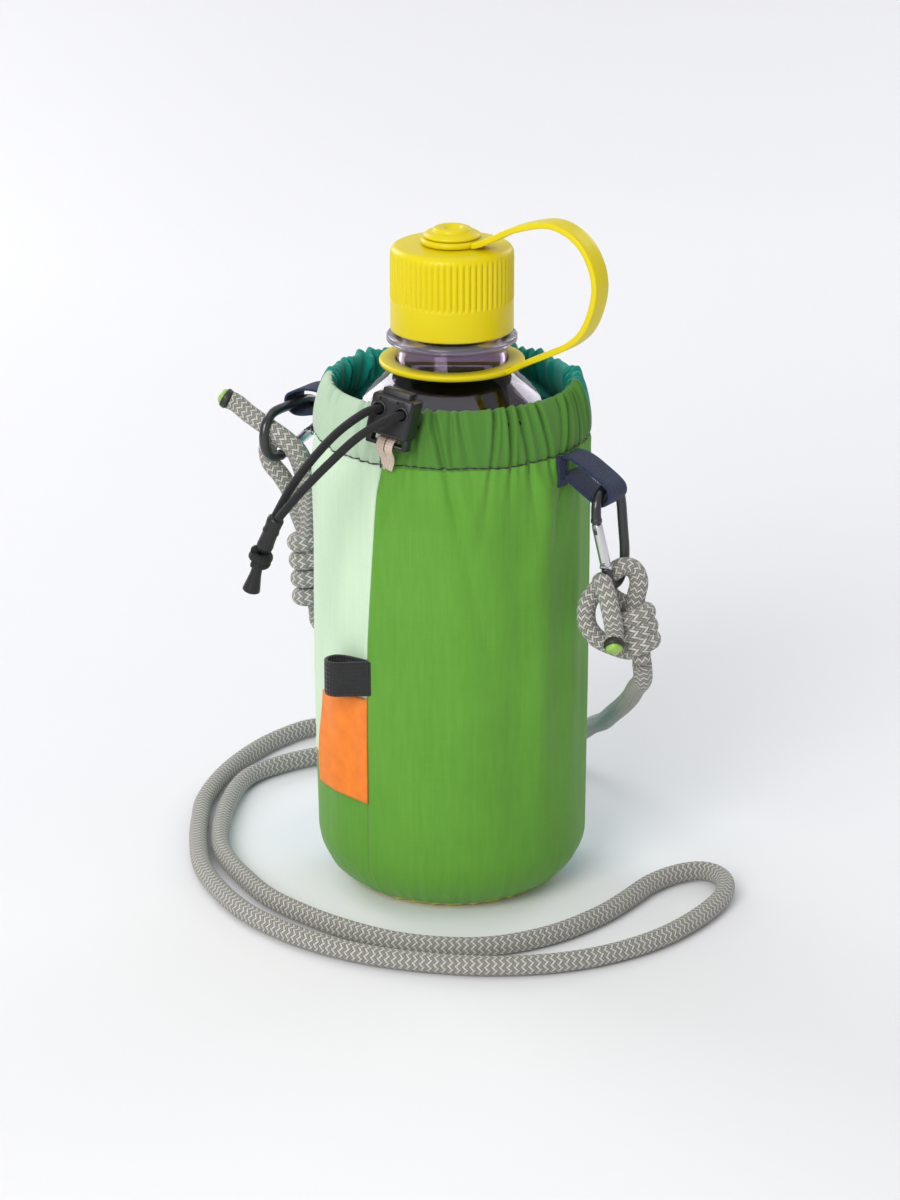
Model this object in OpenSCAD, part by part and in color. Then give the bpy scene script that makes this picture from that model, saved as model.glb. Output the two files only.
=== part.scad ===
// Narrow-mouth bottle in a drawstring cloth carrier with a rope strap.
// +Z is up. The origin is the centre of the base, on the surface it stands on.
// +X runs through the right-hand loop, -Y faces the front seam.

/* [Bottle] */
// Outer diameter of the bottle
bottle_d = 88; // [80:1:100]
// Height of the straight side, from the bottle's foot
bottle_side_h = 148.4; // [120:0.1:180]
// Height of the shoulder, from the side to the neck
shoulder_h = 30; // [24:1:40]
// Wall thickness of the bottle
bottle_wall = 2; // [1.5:0.1:3]
// Radius of the rounded foot
foot_r = 18; // [10:1:24]
// Depth of the dent under the foot
foot_dent = 3; // [1:0.5:5]

/* [Neck and cap] */
// Outer radius of the bare neck
neck_r = 18.2; // [16:0.1:20]
// Height of the bare neck below its flange
neck_h = 8.7; // [7:0.1:12]
// Radius of the neck's flange
flange_r = 21.5; // [20:0.1:24]
// Thickness of the neck's flange
flange_t = 2.5; // [1.5:0.1:4]
// Outer radius of the threaded finish, without its thread
finish_r = 17.5; // [15:0.1:19]
// Height of the threaded finish above the flange
finish_h = 25.4; // [22:0.1:30]
// Height of a thread ridge
thread_depth = 1.1; // [0.8:0.1:1.4]
// Rise of the thread in one turn
thread_pitch = 4.23; // [3:0.01:6]
// Turns of thread on the neck and in the cap
thread_turns = 1.5; // [1:0.25:2]
// Free space between the neck's thread and the cap's
thread_gap = 0.3; // [0.2:0.05:0.5]
// Wall thickness of the cap
cap_wall = 1.3; // [1:0.1:2.5]
// Thickness of the cap's top
cap_top_t = 2.5; // [2:0.1:4]
// Space between the flange and the cap's lower edge
cap_lift = 1.4; // [0.5:0.1:3]
// Height of the plain band at the foot of the cap
cap_band_h = 10.2; // [6:0.1:14]
// Number of grip ribs round the cap
cap_ribs = 60; // [36:1:80]
// Thickness of the sealing disc in the cap
liner_t = 1.5; // [1:0.1:2.5]

/* [Tether] */
// Radial width of the ring that sits round the neck
tether_ring_w = 5.6; // [3:0.1:8]
// Thickness of the tether's ring, strap and disc
tether_t = 2; // [1.5:0.1:3]
// Width of the tether's strap
tether_w = 8; // [5:0.5:12]
// Radius of the disc on the cap
tether_disc_r = 10.3; // [8:0.1:14]
// Radius of the button that holds the disc
button_r = 9.4; // [7:0.1:12]
// Radius of the button's stem
stem_r = 5; // [3:0.1:6.5]

/* [Carrier] */
// Thickness of the cloth, with its backing
cloth_t = 0.6; // [0.4:0.1:1.5]
// Free space between the bottle and the cloth
cloth_gap = 0.7; // [0.4:0.1:2]
// Height of the row of stitches under the hem
stitch_z = 157.5; // [130:0.5:180]
// Height of the gathered hem
hem_h = 18.5; // [14:0.5:26]
// How far the hem's rim is drawn in
hem_draw = 4.7; // [2:0.1:8]
// Height of the seam across the left-hand side panel
side_seam_z = 46; // [30:1:80]
// Diameter of the elastic drawcord
drawcord_d = 2.8; // [2:0.1:3.5]

/* [Trim] */
// Width of the two hanging loops
loop_w = 11; // [8:0.5:14]
// Thickness of the loops' ribbon
loop_t = 1; // [0.6:0.1:1.6]
// Width of the front webbing loop
web_w = 12; // [8:0.5:16]
// Thickness of the front webbing
web_t = 1.2; // [0.8:0.1:2]
// Height of the front label
label_h = 35.7; // [20:0.5:50]
// Angle that the label spans round the carrier
label_sweep = 30; // [15:1:45]

/* [Cord lock] */
// Width of the cord lock
lock_w = 14.4; // [12:0.1:18]
// Depth of the cord lock
lock_d = 9; // [8:0.1:12]
// Travel of the cord lock's plunger
lock_travel = 2; // [1:0.1:2.5]

/* [Carabiners and rope] */
// Wire diameter of the carabiners
wire_d = 3.3; // [2.5:0.1:4]
// Inside width of the gate's fork, over its lug
fork_gap = 0.25; // [0.15:0.05:0.4]
// Diameter of the strap rope
rope_d = 6.4; // [5:0.1:7]

/* [Hidden] */

// Small distances used throughout
round_fn = 96;
small_fn = 32;
knot_fn = 20;
eps = 0.01;
part_gap = 0.3;
run_gap = 0.05;

// Bottle heights and radii, from the floor up
bottle_r = bottle_d / 2;
carrier_r = bottle_r + cloth_gap + cloth_t;
foot_z = cloth_gap + cloth_t;
side_z = foot_z + bottle_side_h;
neck_z = side_z + shoulder_h;
flange_z = neck_z + neck_h;
finish_z = flange_z + flange_t;
mouth_z = finish_z + finish_h;
bore_r = finish_r - bottle_wall;

// Cap heights and radii
cap_z = finish_z + cap_lift;
cap_bore_r = finish_r + thread_depth + thread_gap;
cap_r = cap_bore_r + cap_wall;
cap_inner_z = mouth_z + part_gap + liner_t;
cap_top_z = cap_inner_z + cap_top_t;
cap_round = 2.5;
rib_depth = 0.45;
rib_inset = 0.1;
rib_root = 0.5;
rib_z = cap_z + cap_band_h;
rib_top_z = cap_top_z - cap_round - 0.4;
thread_w = 1.8;
thread_crest_w = 1;
thread_sink = 0.3;
thread_steps = 32;
thread_z = finish_z + 8.4;

// Tether heights
ring_in_r = neck_r + 0.2;
ring_out_r = ring_in_r + tether_ring_w;
ring_z = neck_z + 0.8;
disc_z = cap_top_z + part_gap;
disc_in_r = stem_r + run_gap;
button_z = disc_z + tether_t + part_gap;
button_rim_h = 1;
button_dome_h = 2.2;
button_ring_r = 6.3;
button_dimple_r = 3.2;
button_dimple_h = 1.6;
strap_start_x = ring_out_r - 0.4;
strap_end_x = tether_disc_r + 2 * part_gap;

// Carrier profile: a flat base, a rounded lower edge and a straight side
bend_r = foot_r + cloth_gap + cloth_t;
flat_r = carrier_r - bend_r;
base_angle = 20;
bend_steps = 8;
seam_front = -90;
seam_right = 28;
seam_left = 205;
hem_top_z = stitch_z + hem_h;
channel_z = stitch_z + 0.7 * hem_h;
channel_r = carrier_r - 3.7;
channel_play = 0.1;
drawcord_from = -73;
drawcord_sweep = 348;
stitch_d = 0.8;

// Trim places
label_z = 40;
label_from = -93;
label_t = 0.6;
web_z = 78;
web_out = 11;
web_end_r = 4.2;
web_lean = 25;
web_angle = -92;

// Cord lock place, and its own X out from the carrier
lock_angle = -79;
lock_r = carrier_r + 4.7;
lock_z = stitch_z + 17;
lock_tilt = -10;
lock_roll = -10;
lock_top = 8.4;
lock_foot = -4.6;
lock_bar_z = -8.4;
lock_bar_t = 1.5;
lock_bar_depth = 4;
lock_hole_y = 3.9;
lock_hole_z = 3.5;
lock_hole_r = drawcord_d / 2 + 0.35;
plunger_d = 4.6;
plunger_w = 9.8;
plunger_gap = 0.3;
plunger_out = 2;
plunger_foot = -1.5;
spring_r = 1.6;
tape_w = 5;
tape_t = 0.8;

// Carabiner outline: X is its thickness, Y its width, Z its length
wire_r = wire_d / 2;
biner_path = [
  [-8, -15.2], [-8, -13.4], [-7.3, -9.8], [-5, -7], [-2.5, -5.8], [0, -5.4],
  [2.5, -5.8], [5, -7], [7.3, -9.8], [8, -13.4], [8, -18], [8, -23], [8, -28],
  [7.2, -32.4], [5, -36], [2.4, -38.1], [-0.4, -38.3], [-2.6, -36.8], [-3.6, -34.4]
];
biner_sides = 12;
gate_pivot = [-4.2, -31.6];
gate_end = [-8, -15.9];
gate_r = 1.75;
gate_len = norm(gate_end - gate_pivot);
gate_lean = atan2(gate_end[0] - gate_pivot[0], gate_end[1] - gate_pivot[1]);
lug_t = 1.6;
lug_r = 1.6;
pin_r = 0.75;
pin_len = 3.4;
tongue_t = 1;
tongue_len = 2.4;
tongue_w = 2;
gate_slot_len = 3.2;
gate_spring_r = 0.8;
gate_spring_len = 7;
gate_spring_z = 3;

// Where each carabiner hangs
right_hang = [59.3, 0, 153.7];
right_swing = -5.6;
left_hang = [-57.5, -31.9, 151.5];
loop_hole_r = wire_d / 2 + 1.75;
loop_out = 0.5;
loop_drop = 6.7;
loop_root_top = 0.2;
loop_root_h = 7.5;
left_spine_z = 159.5;
left_loop_y = -4;
left_root_z = 157.5;

// Rope routes, resting on the floor where they lie flat
rope_r = rope_d / 2;
rope_sides = 10;
cord_sides = 8;
lie_z = 3.5;
right_leg_route = [
  [74, 0, 90], [72, 4, 83], [65, 12, 76], [56, 24, 67], [46, 36, 58], [34, 50, 48],
  [22, 64, 38], [9, 79, 29], [-4, 93, 19], [-15, 101, 11], [-28, 105, 5], [-42, 105, lie_z]
];
floor_route = [
  [-42, 105, lie_z], [-60, 101, lie_z], [-77, 94, lie_z], [-92, 87, lie_z], [-110, 77, lie_z],
  [-115, 60, lie_z], [-115, 41, lie_z], [-111, 19, lie_z], [-103, -3, lie_z],
  [-94, -18, lie_z], [-83, -34, lie_z], [-67, -53, lie_z], [-48, -67, lie_z],
  [-30, -76, lie_z], [-10, -81, lie_z], [7, -82, lie_z], [24, -80, lie_z],
  [40, -75, lie_z], [55, -68, lie_z], [69, -58, lie_z], [80, -46, lie_z],
  [88, -32, lie_z], [93, -17, lie_z], [95, -2, lie_z], [95, 13, lie_z],
  [93, 25, lie_z], [88, 34, lie_z], [82, 38, lie_z], [76, 37, lie_z],
  [71, 30, lie_z], [68, 18, lie_z], [68, 2, lie_z], [67, -14, lie_z],
  [62, -34, lie_z], [52, -51, lie_z], [39, -61, lie_z], [22, -67, lie_z],
  [4, -68, lie_z], [-14, -66, lie_z], [-33, -61, lie_z], [-50, -52, lie_z],
  [-66, -41, lie_z], [-78, -28, lie_z], [-92, -5, lie_z], [-102, 20, lie_z],
  [-100, 38, lie_z], [-93, 53, lie_z], [-86, 59, lie_z], [-78, 61, lie_z]
];
left_leg_route = [
  [-78, 61, lie_z], [-66, 61, 7], [-58, 53, 18], [-57, 45, 28], [-57, 37, 38],
  [-57, 28, 50], [-57.5, 20, 60], [-57.5, 10, 71], [-57, 3, 79]
];
right_tail_route = [[64, -6, 113], [67.5, -8.5, 107], [70, -10, 101], [71.5, -12, 98.5]];
left_tail_route = [[-58, -22.5, 144.5], [-61.5, -22, 152], [-67, -22.5, 157.5], [-73, -23.5, 162]];
tip_len = 2.6;
tip_extra = 0.4;

// Knots are drawn as their outer shape
right_knot_balls = [[64, 5, 117, 6.2], [58, -2, 110, 6], [69, 3, 108, 8], [73, 1, 99, 6.8]];
left_knot_balls = [[-57.5, -21, 140.4, 4], [-57, -9, 125, 6], [-56, -3, 112, 8.2], [-56, 0, 88, 8.2]];

// Elastic tails from the cord lock to the pull
left_cord_route = [
  [4.4, -41.4, 170.5], [4.9, -43.4, 176.3], [5.5, -45.3, 177.9], [6.2, -49, 178.6],
  [7.1, -53.6, 179.4], [5.4, -59.4, 179], [0, -66.5, 173.5], [-6, -72, 165],
  [-11.5, -75.6, 156], [-16.8, -77, 146]
];
right_cord_route = [
  [11.5, -40, 170.5], [11.9, -41.7, 174.5], [13.1, -44, 176.6], [13.8, -47.8, 177.2],
  [14.7, -52.3, 178], [13.9, -58, 178], [8, -66, 173.5], [0.5, -73, 164.5],
  [-7, -77.8, 155], [-14.2, -79.4, 146]
];
sleeve_top = [-15.7, -78.3, 145.6];
sleeve_end = [-20.3, -79.2, 134.4];
sleeve_r = 2.7;
knot_at = [-21.4, -79.4, 131.6];
knot_ring_r = 2.4;
knot_cord_r = 1.7;
tail_end = [-24.6, -80.6, 120];
tail_top_r = 1.8;
tail_end_r = 3.1;

// Points on an arc of a profile, as [radius, height]
function arc_pts(cx, cz, r, a0, a1, n) =
  [for (i = [0:n]) let (a = a0 + (a1 - a0) * i / n) [cx + r * cos(a), cz + r * sin(a)]];

// A smooth curve through a list of points, with k steps between neighbours
function pt(p, i) = p[max(0, min(len(p) - 1, i))];
function mix(p, i, t) =
  let (a = pt(p, i - 1), b = pt(p, i), c = pt(p, i + 1), d = pt(p, i + 2))
  0.5 * (2 * b + (c - a) * t + (2 * a - 5 * b + 4 * c - d) * t * t + (3 * b - a - 3 * c + d) * t * t * t);
function smooth(p, k) =
  concat([for (i = [0:len(p) - 2], j = [0:k - 1]) mix(p, i, j / k)], [p[len(p) - 1]]);

// The section's side and upward directions at a point of a curve
function unit(v) = v / norm(v);
function along(p, i) = unit(pt(p, i + 1) - pt(p, i - 1));
function side_of(t) = abs(t[2]) > 0.9 ? unit(cross([0, 1, 0], t)) : unit(cross([0, 0, 1], t));

// A closed tube through the points, r wide and n-sided; s is each section's side direction
function tube_points(p, s, r, n) =
  [for (i = [0:len(p) - 1]) let (t = along(p, i), u = cross(t, s[i]))
    for (k = [0:n - 1]) let (a = 360 * (k + 0.5) / n) p[i] + r * (cos(a) * s[i] + sin(a) * u)];
function tube_faces(m, n) = concat(
  [[for (k = [0:n - 1]) k]],
  [for (i = [0:m - 2], k = [0:n - 1]) let (j = (k + 1) % n)
    [i * n + k, (i + 1) * n + k, (i + 1) * n + j, i * n + j]],
  [[for (k = [n - 1:-1:0]) (m - 1) * n + k]]);

module tube(p, r, n) {
  s = [for (i = 0, v = side_of(along(p, 0)); i < len(p);
    i = i + 1, v = i < len(p) ? unit(v - (v * along(p, i)) * along(p, i)) : v) v];
  polyhedron(tube_points(p, s, r, n), tube_faces(len(p), n), convexity = 10);
}

// A flat band along a curve in the XZ plane, w wide and t thick
module band(p, w, t) {
  pts = [for (i = [0:len(p) - 1]) let (d = along(p, i), u = [-d[2], 0, d[0]])
    for (c = [[-1, -1], [1, -1], [1, 1], [-1, 1]]) p[i] + [0, c[0] * w / 2, 0] + c[1] * t / 2 * u];
  polyhedron(pts, tube_faces(len(p), 4), convexity = 10);
}

// A closed ridge that winds up a cylinder, from radius r_in to r_out
module thread_ridge(r_root, r_crest, z0, w_root, w_crest) {
  steps = round(thread_turns * thread_steps);
  pts = [for (i = [0:steps]) let (a = 360 * i / thread_steps, z = z0 + thread_pitch * i / thread_steps)
    for (c = [[r_root, -w_root / 2], [r_crest, -w_crest / 2], [r_crest, w_crest / 2], [r_root, w_root / 2]])
      [c[0] * cos(a), c[0] * sin(a), z + c[1]]];
  faces = tube_faces(steps + 1, 4);
  polyhedron(pts, r_crest > r_root ? [for (f = faces) [for (k = [len(f) - 1:-1:0]) f[k]]] : faces,
    convexity = 10);
}

// Part of a ring of cloth between two angles, from a profile
module cloth(a0, a1) {
  rotate([0, 0, a0]) rotate_extrude(angle = a1 - a0, $fn = round_fn) children();
}

// Carrier profile between two angles of the lower bend
module bend_profile(a0, a1, top) {
  outer = arc_pts(flat_r, bend_r, bend_r, a0, a1, bend_steps);
  inner = arc_pts(flat_r, bend_r, bend_r - cloth_t, a1, a0, bend_steps);
  polygon(concat(outer, top > 0 ? [[carrier_r, top], [carrier_r - cloth_t, top]] : [], inner));
}

module side_profile(z0, z1) {
  translate([carrier_r - cloth_t, z0]) square([cloth_t, z1 - z0]);
}

module hem_profile() {
  difference() {
    polygon([
      [carrier_r, stitch_z], [carrier_r + 0.2, stitch_z + 0.25 * hem_h],
      [carrier_r - 0.7, stitch_z + 0.55 * hem_h], [carrier_r - 0.45 * hem_draw, stitch_z + 0.8 * hem_h],
      [carrier_r - 0.8 * hem_draw, stitch_z + 0.96 * hem_h], [carrier_r - hem_draw, hem_top_z],
      [carrier_r - 1.25 * hem_draw, stitch_z + 0.96 * hem_h],
      [carrier_r - 1.3 * hem_draw, stitch_z + 0.8 * hem_h],
      [carrier_r - 1.15 * hem_draw, stitch_z + 0.5 * hem_h],
      [carrier_r - 0.5 * hem_draw, stitch_z + 0.2 * hem_h], [carrier_r - cloth_t, stitch_z]
    ]);
    translate([channel_r, channel_z]) circle(r = drawcord_d / 2 + channel_play, $fn = small_fn);
  }
}

module base_panel() {
  color("gold") rotate_extrude($fn = round_fn) {
    square([flat_r, cloth_t]);
    bend_profile(-90, base_angle - 90, 0);
  }
}

module front_panel() {
  color("forestgreen") cloth(seam_front, seam_right) bend_profile(base_angle - 90, 0, stitch_z);
}

module side_panel_lower() {
  color("forestgreen") cloth(seam_left - 360, seam_front)
    bend_profile(base_angle - 90, 0, side_seam_z);
}

module side_panel_upper() {
  color("honeydew") cloth(seam_left - 360, seam_front) side_profile(side_seam_z, stitch_z);
}

module back_panel() {
  color("teal") cloth(seam_right, seam_left) bend_profile(base_angle - 90, 0, stitch_z);
}

module hem_front() { color("limegreen") cloth(seam_front, seam_right) hem_profile(); }
module hem_side() { color("honeydew") cloth(seam_left - 360, seam_front) hem_profile(); }
module hem_back() { color("teal") cloth(seam_right, seam_left) hem_profile(); }

module hem_stitching() {
  color("black") rotate_extrude($fn = round_fn)
    translate([carrier_r, stitch_z - stitch_d]) square([stitch_d / 2, stitch_d]);
}

module drawcord() {
  color("black") rotate([0, 0, drawcord_from])
    rotate_extrude(angle = drawcord_sweep, $fn = round_fn)
      translate([channel_r, channel_z]) circle(r = drawcord_d / 2, $fn = small_fn);
}

module label() {
  color("darkorange") cloth(label_from - label_sweep, label_from)
    translate([carrier_r, label_z]) square([label_t, label_h]);
}

// A folded band seen end on: a drop that opens to a round end
module drop(reach, end_r, root_h) {
  translate([reach, 0]) circle(r = end_r, $fn = small_fn);
  polygon([[0, -root_h / 2], [reach, -end_r], [reach, end_r], [0, root_h / 2]]);
}

module webbing_loop() {
  color("black") rotate([0, 0, web_angle]) translate([carrier_r, 0, web_z])
    rotate([0, 0, web_lean - 90]) linear_extrude(web_w) difference() {
      drop(web_out, web_end_r, 2 * web_t);
      translate([2 * web_t, 0]) drop(web_out - 2 * web_t, web_end_r - web_t, 1);
    }
}

// A ribbon loop whose round end holds a wire at [reach, height]
module ribbon_loop(reach, height, root_z) {
  rotate([90, 0, 0]) translate([0, 0, -loop_w / 2]) linear_extrude(loop_w) difference() {
    union() {
      translate([reach, height]) circle(r = loop_hole_r + loop_t, $fn = small_fn);
      polygon([[carrier_r + loop_root_top, root_z], [reach, height - loop_hole_r - loop_t],
        [reach, height + loop_hole_r + loop_t], [carrier_r + loop_root_top, root_z + loop_root_h]]);
    }
    translate([reach, height]) circle(r = loop_hole_r, $fn = small_fn);
    polygon([[carrier_r + loop_root_top + loop_t, root_z + loop_t], [reach, height - loop_hole_r],
      [reach, height + loop_hole_r], [carrier_r + loop_root_top + loop_t, root_z + loop_root_h - loop_t]]);
  }
}

module right_loop() {
  color("midnightblue")
    ribbon_loop(right_hang[0] + loop_out, right_hang[2] - loop_drop, stitch_z - loop_root_h);
}

module left_loop() {
  color("midnightblue") translate([0, left_loop_y, 0]) mirror([1, 0, 0])
    ribbon_loop(-left_hang[0], left_spine_z, left_root_z);
}

module at_lock() {
  rotate([0, 0, lock_angle]) translate([lock_r, 0, lock_z]) rotate([0, lock_tilt, 0])
    rotate([lock_roll, 0, 0]) children();
}

module lock_anchor_tape() {
  bar_top = lock_bar_z + lock_bar_t;
  root = [-7.2, -16.2];
  color("burlywood") at_lock() rotate([90, 0, 0]) translate([0, 0, -tape_w / 2])
    linear_extrude(tape_w) difference() {
      polygon([root, [-lock_bar_depth / 2 - tape_t - 0.2, bar_top + 1],
        [lock_bar_depth / 2 + tape_t + 0.2, bar_top + 1], [lock_bar_depth / 2 + tape_t + 0.2, lock_bar_z],
        root + [2 * tape_t, 0]]);
      polygon([root + [tape_t, 1.6], [-lock_bar_depth / 2 - 0.2, bar_top + 0.2],
        [lock_bar_depth / 2 + 0.2, bar_top + 0.2], [lock_bar_depth / 2 + 0.2, lock_bar_z - 0.2]]);
    }
}

module cord_lock_body() {
  pocket_d = plunger_d + 2 * plunger_gap;
  pocket_w = plunger_w + 2 * plunger_gap;
  pocket_z = plunger_foot - lock_travel - plunger_gap;
  slot_z = lock_bar_z + lock_bar_t;
  color("dimgray") at_lock() difference() {
    union() {
      translate([-lock_d / 2, -lock_w / 2, lock_foot]) cube([lock_d, lock_w, lock_top - lock_foot]);
      translate([-lock_bar_depth / 2, -lock_w / 2, lock_bar_z])
        cube([lock_bar_depth, lock_w, lock_foot - lock_bar_z]);
    }
    translate([-pocket_d / 2, -pocket_w / 2, pocket_z]) cube([pocket_d, pocket_w, lock_top - pocket_z + eps]);
    translate([-lock_bar_depth, -lock_w / 2 + 2, slot_z])
      cube([2 * lock_bar_depth, lock_w - 4, lock_foot - slot_z]);
    for (y = [-1, 1]) translate([-lock_d, y * lock_hole_y, lock_hole_z]) rotate([0, 90, 0])
      cylinder(h = 2 * lock_d, r = lock_hole_r, $fn = small_fn);
    for (y = [-1, 1]) translate([0, y * lock_w / 2, lock_top]) rotate([45, 0, 0])
      cube([2 * lock_d, 2, 2], center = true);
  }
}

module cord_lock_plunger() {
  slot_low = lock_hole_z - drawcord_d / 2 - 0.25;
  slot_h = drawcord_d + lock_travel + 0.5;
  color("black") at_lock() difference() {
    translate([-plunger_d / 2, -plunger_w / 2, plunger_foot])
      cube([plunger_d, plunger_w, lock_top + plunger_out - plunger_foot]);
    for (y = [-1, 1]) translate([-plunger_d, y * lock_hole_y - (y > 0 ? 1.7 : lock_hole_y), slot_low])
      cube([2 * plunger_d, lock_hole_y + 1.7, slot_h]);
  }
}

module cord_lock_spring() {
  foot = plunger_foot - lock_travel - plunger_gap;
  color("silver") at_lock() translate([0, 0, foot])
    cylinder(h = plunger_foot - foot - eps, r = spring_r, $fn = small_fn);
}

module shock_cord_left() { color("black") tube(left_cord_route, drawcord_d / 2, cord_sides); }
module shock_cord_right() { color("black") tube(right_cord_route, drawcord_d / 2, cord_sides); }

// A rod between two points, tapering from r0 to r1
module rod(p0, p1, r0, r1) {
  v = p1 - p0;
  translate(p0) rotate([0, acos(v[2] / norm(v)), atan2(v[1], v[0])])
    cylinder(h = norm(v), r1 = r0, r2 = r1, $fn = small_fn);
}

module pull_sleeve() { color("black") rod(sleeve_top, sleeve_end, sleeve_r, sleeve_r); }

module pull_knot() {
  v = sleeve_end - sleeve_top;
  color("black") translate(knot_at) rotate([0, acos(v[2] / norm(v)), atan2(v[1], v[0])])
    rotate_extrude($fn = small_fn) translate([knot_ring_r, 0]) circle(r = knot_cord_r, $fn = small_fn);
}

module pull_tail() {
  start = knot_at + knot_cord_r * unit(tail_end - knot_at);
  color("black") rod(start, tail_end, tail_top_r, tail_end_r);
}

// The bottle's outer profile, drawn in by inset
function bottle_outline(inset) = let (r = bottle_r, z = side_z, h = shoulder_h, q = inset) concat(
  [[0, foot_z + foot_dent + q], [bottle_r - foot_r - 6, foot_z + foot_dent + q],
    [bottle_r - foot_r - 2, foot_z + q]],
  arc_pts(r - foot_r, foot_z + foot_r, foot_r - q, -90, 0, bend_steps),
  [[r - q, z], [r - 0.014 * r - q, z + 0.14 * h], [r - 0.055 * r - q, z + 0.28 * h],
    [r - 0.125 * r - q, z + 0.43 * h], [r - 0.215 * r - q, z + 0.57 * h - 0.3 * q],
    [r - 0.32 * r - 0.9 * q, z + 0.7 * h - 0.5 * q], [r - 0.425 * r - 0.8 * q, z + 0.82 * h - 0.8 * q],
    [r - 0.51 * r - 0.7 * q, z + 0.915 * h - q], [neck_r + 1 - 0.8 * q, z + 0.975 * h - q],
    [neck_r - q, neck_z]]);

module bottle_shell() {
  outer = concat(bottle_outline(0), [
    [neck_r, flange_z], [flange_r, flange_z + 0.4], [flange_r, finish_z - 0.5], [flange_r - 0.6, finish_z],
    [finish_r, finish_z], [finish_r, mouth_z - 0.6], [finish_r - 0.6, mouth_z], [0, mouth_z]]);
  inner = concat(bottle_outline(bottle_wall), [
    [neck_r - bottle_wall, flange_z], [bore_r, finish_z], [bore_r, mouth_z + 1], [0, mouth_z + 1]]);
  color("thistle") {
    difference() {
      rotate_extrude($fn = round_fn) polygon(outer);
      rotate_extrude($fn = round_fn) polygon(inner);
    }
    thread_ridge(finish_r - thread_sink, finish_r + thread_depth, thread_z, thread_w, thread_crest_w);
  }
}

module tether_ring() {
  color("gold") translate([0, 0, ring_z]) difference() {
    cylinder(h = tether_t, r = ring_out_r, $fn = round_fn);
    translate([0, 0, -1]) cylinder(h = tether_t + 2, r = ring_in_r, $fn = round_fn);
  }
}

// The strap rises from the ring, swings out and comes back over the cap
module tether_strap() {
  low = ring_z + tether_t / 2;
  high = disc_z + tether_t / 2;
  path = [
    [strap_start_x, 0, low], [29.2, 0, low + 3.6], [38.4, 0, low + 8.2], [46.1, 0, low + 12.4],
    [51.4, 0, low + 17.4], [54.7, 0, low + 24.5], [56.1, 0, low + 32], [54.9, 0, low + 38.8],
    [51, 0, low + 45.4], [44.9, 0, low + 49.6], [37.3, 0, low + 50.9], [25.8, 0, high + 7.4],
    [17, 0, high + 3], [strap_end_x, 0, high]
  ];
  color("gold") band(smooth(path, 3), tether_w, tether_t);
}

module tether_disc() {
  color("gold") translate([0, 0, disc_z]) difference() {
    cylinder(h = tether_t, r = tether_disc_r, $fn = round_fn);
    translate([0, 0, -1]) cylinder(h = tether_t + 2, r = disc_in_r, $fn = round_fn);
  }
}

module cap_shell() {
  step = 360 / cap_ribs;
  rib_outline = [for (i = [0:cap_ribs - 1]) for (c = [[0, 1], [0.3, 1], [0.45, 0], [0.85, 0]])
    let (a = step * (i + c[0]), r = cap_r - rib_inset - rib_depth * (1 - c[1])) [r * cos(a), r * sin(a)]];
  color("gold") {
    difference() {
      union() {
        rotate_extrude($fn = round_fn) polygon(concat(
          [[0, cap_z], [cap_r, cap_z], [cap_r, rib_z], [cap_r - rib_depth, rib_z]],
          arc_pts(cap_r - rib_depth - cap_round, cap_top_z - cap_round, cap_round, 0, 90, 6),
          [[0, cap_top_z]]));
        translate([0, 0, rib_z - rib_root]) linear_extrude(rib_top_z - rib_z + rib_root) polygon(rib_outline);
      }
      translate([0, 0, cap_z - 1]) cylinder(h = cap_inner_z - cap_z + 1, r = cap_bore_r, $fn = round_fn);
    }
    thread_ridge(cap_bore_r + thread_sink, cap_bore_r - thread_depth, thread_z + thread_pitch / 2,
      thread_w, thread_crest_w);
  }
}

module cap_button() {
  top = button_z + button_rim_h;
  color("gold") rotate_extrude($fn = round_fn) polygon([
    [0, cap_top_z], [stem_r, cap_top_z], [stem_r, button_z], [button_r, button_z], [button_r, top],
    [button_r - 0.8, top + 0.35 * button_dome_h], [button_ring_r + 0.8, top + 0.75 * button_dome_h],
    [button_ring_r, top + 0.78 * button_dome_h], [button_ring_r - 0.3, top + button_dome_h],
    [button_dimple_r + 0.3, top + button_dome_h], [button_dimple_r, top + button_dome_h - 0.3],
    [button_dimple_r, top + button_dome_h - button_dimple_h], [0, top + button_dome_h - button_dimple_h]
  ]);
}

module cap_liner() {
  color("white") translate([0, 0, cap_inner_z - liner_t])
    cylinder(h = liner_t, r = cap_bore_r - thread_depth - part_gap, $fn = round_fn);
}

module carabiner_frame() {
  difference() {
    union() {
      tube(smooth([for (q = biner_path) [0, q[0], q[1]]], 2), wire_r, biner_sides);
      translate([0, biner_path[0][0], biner_path[0][1]]) {
        translate([-tongue_t / 2, -tongue_w / 2, -tongue_len]) cube([tongue_t, tongue_w, tongue_len + 0.5]);
      }
      translate([-lug_t / 2, gate_pivot[0], gate_pivot[1]]) rotate([0, 90, 0])
        cylinder(h = lug_t, r = lug_r, $fn = small_fn);
      translate([-lug_t / 2, gate_pivot[0] - 0.9, gate_pivot[1] - 3.2]) cube([lug_t, 2.2, 3]);
    }
    translate([-wire_d, gate_pivot[0], gate_pivot[1]]) rotate([0, 90, 0])
      cylinder(h = 2 * wire_d, r = pin_r, $fn = small_fn);
  }
}

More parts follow.
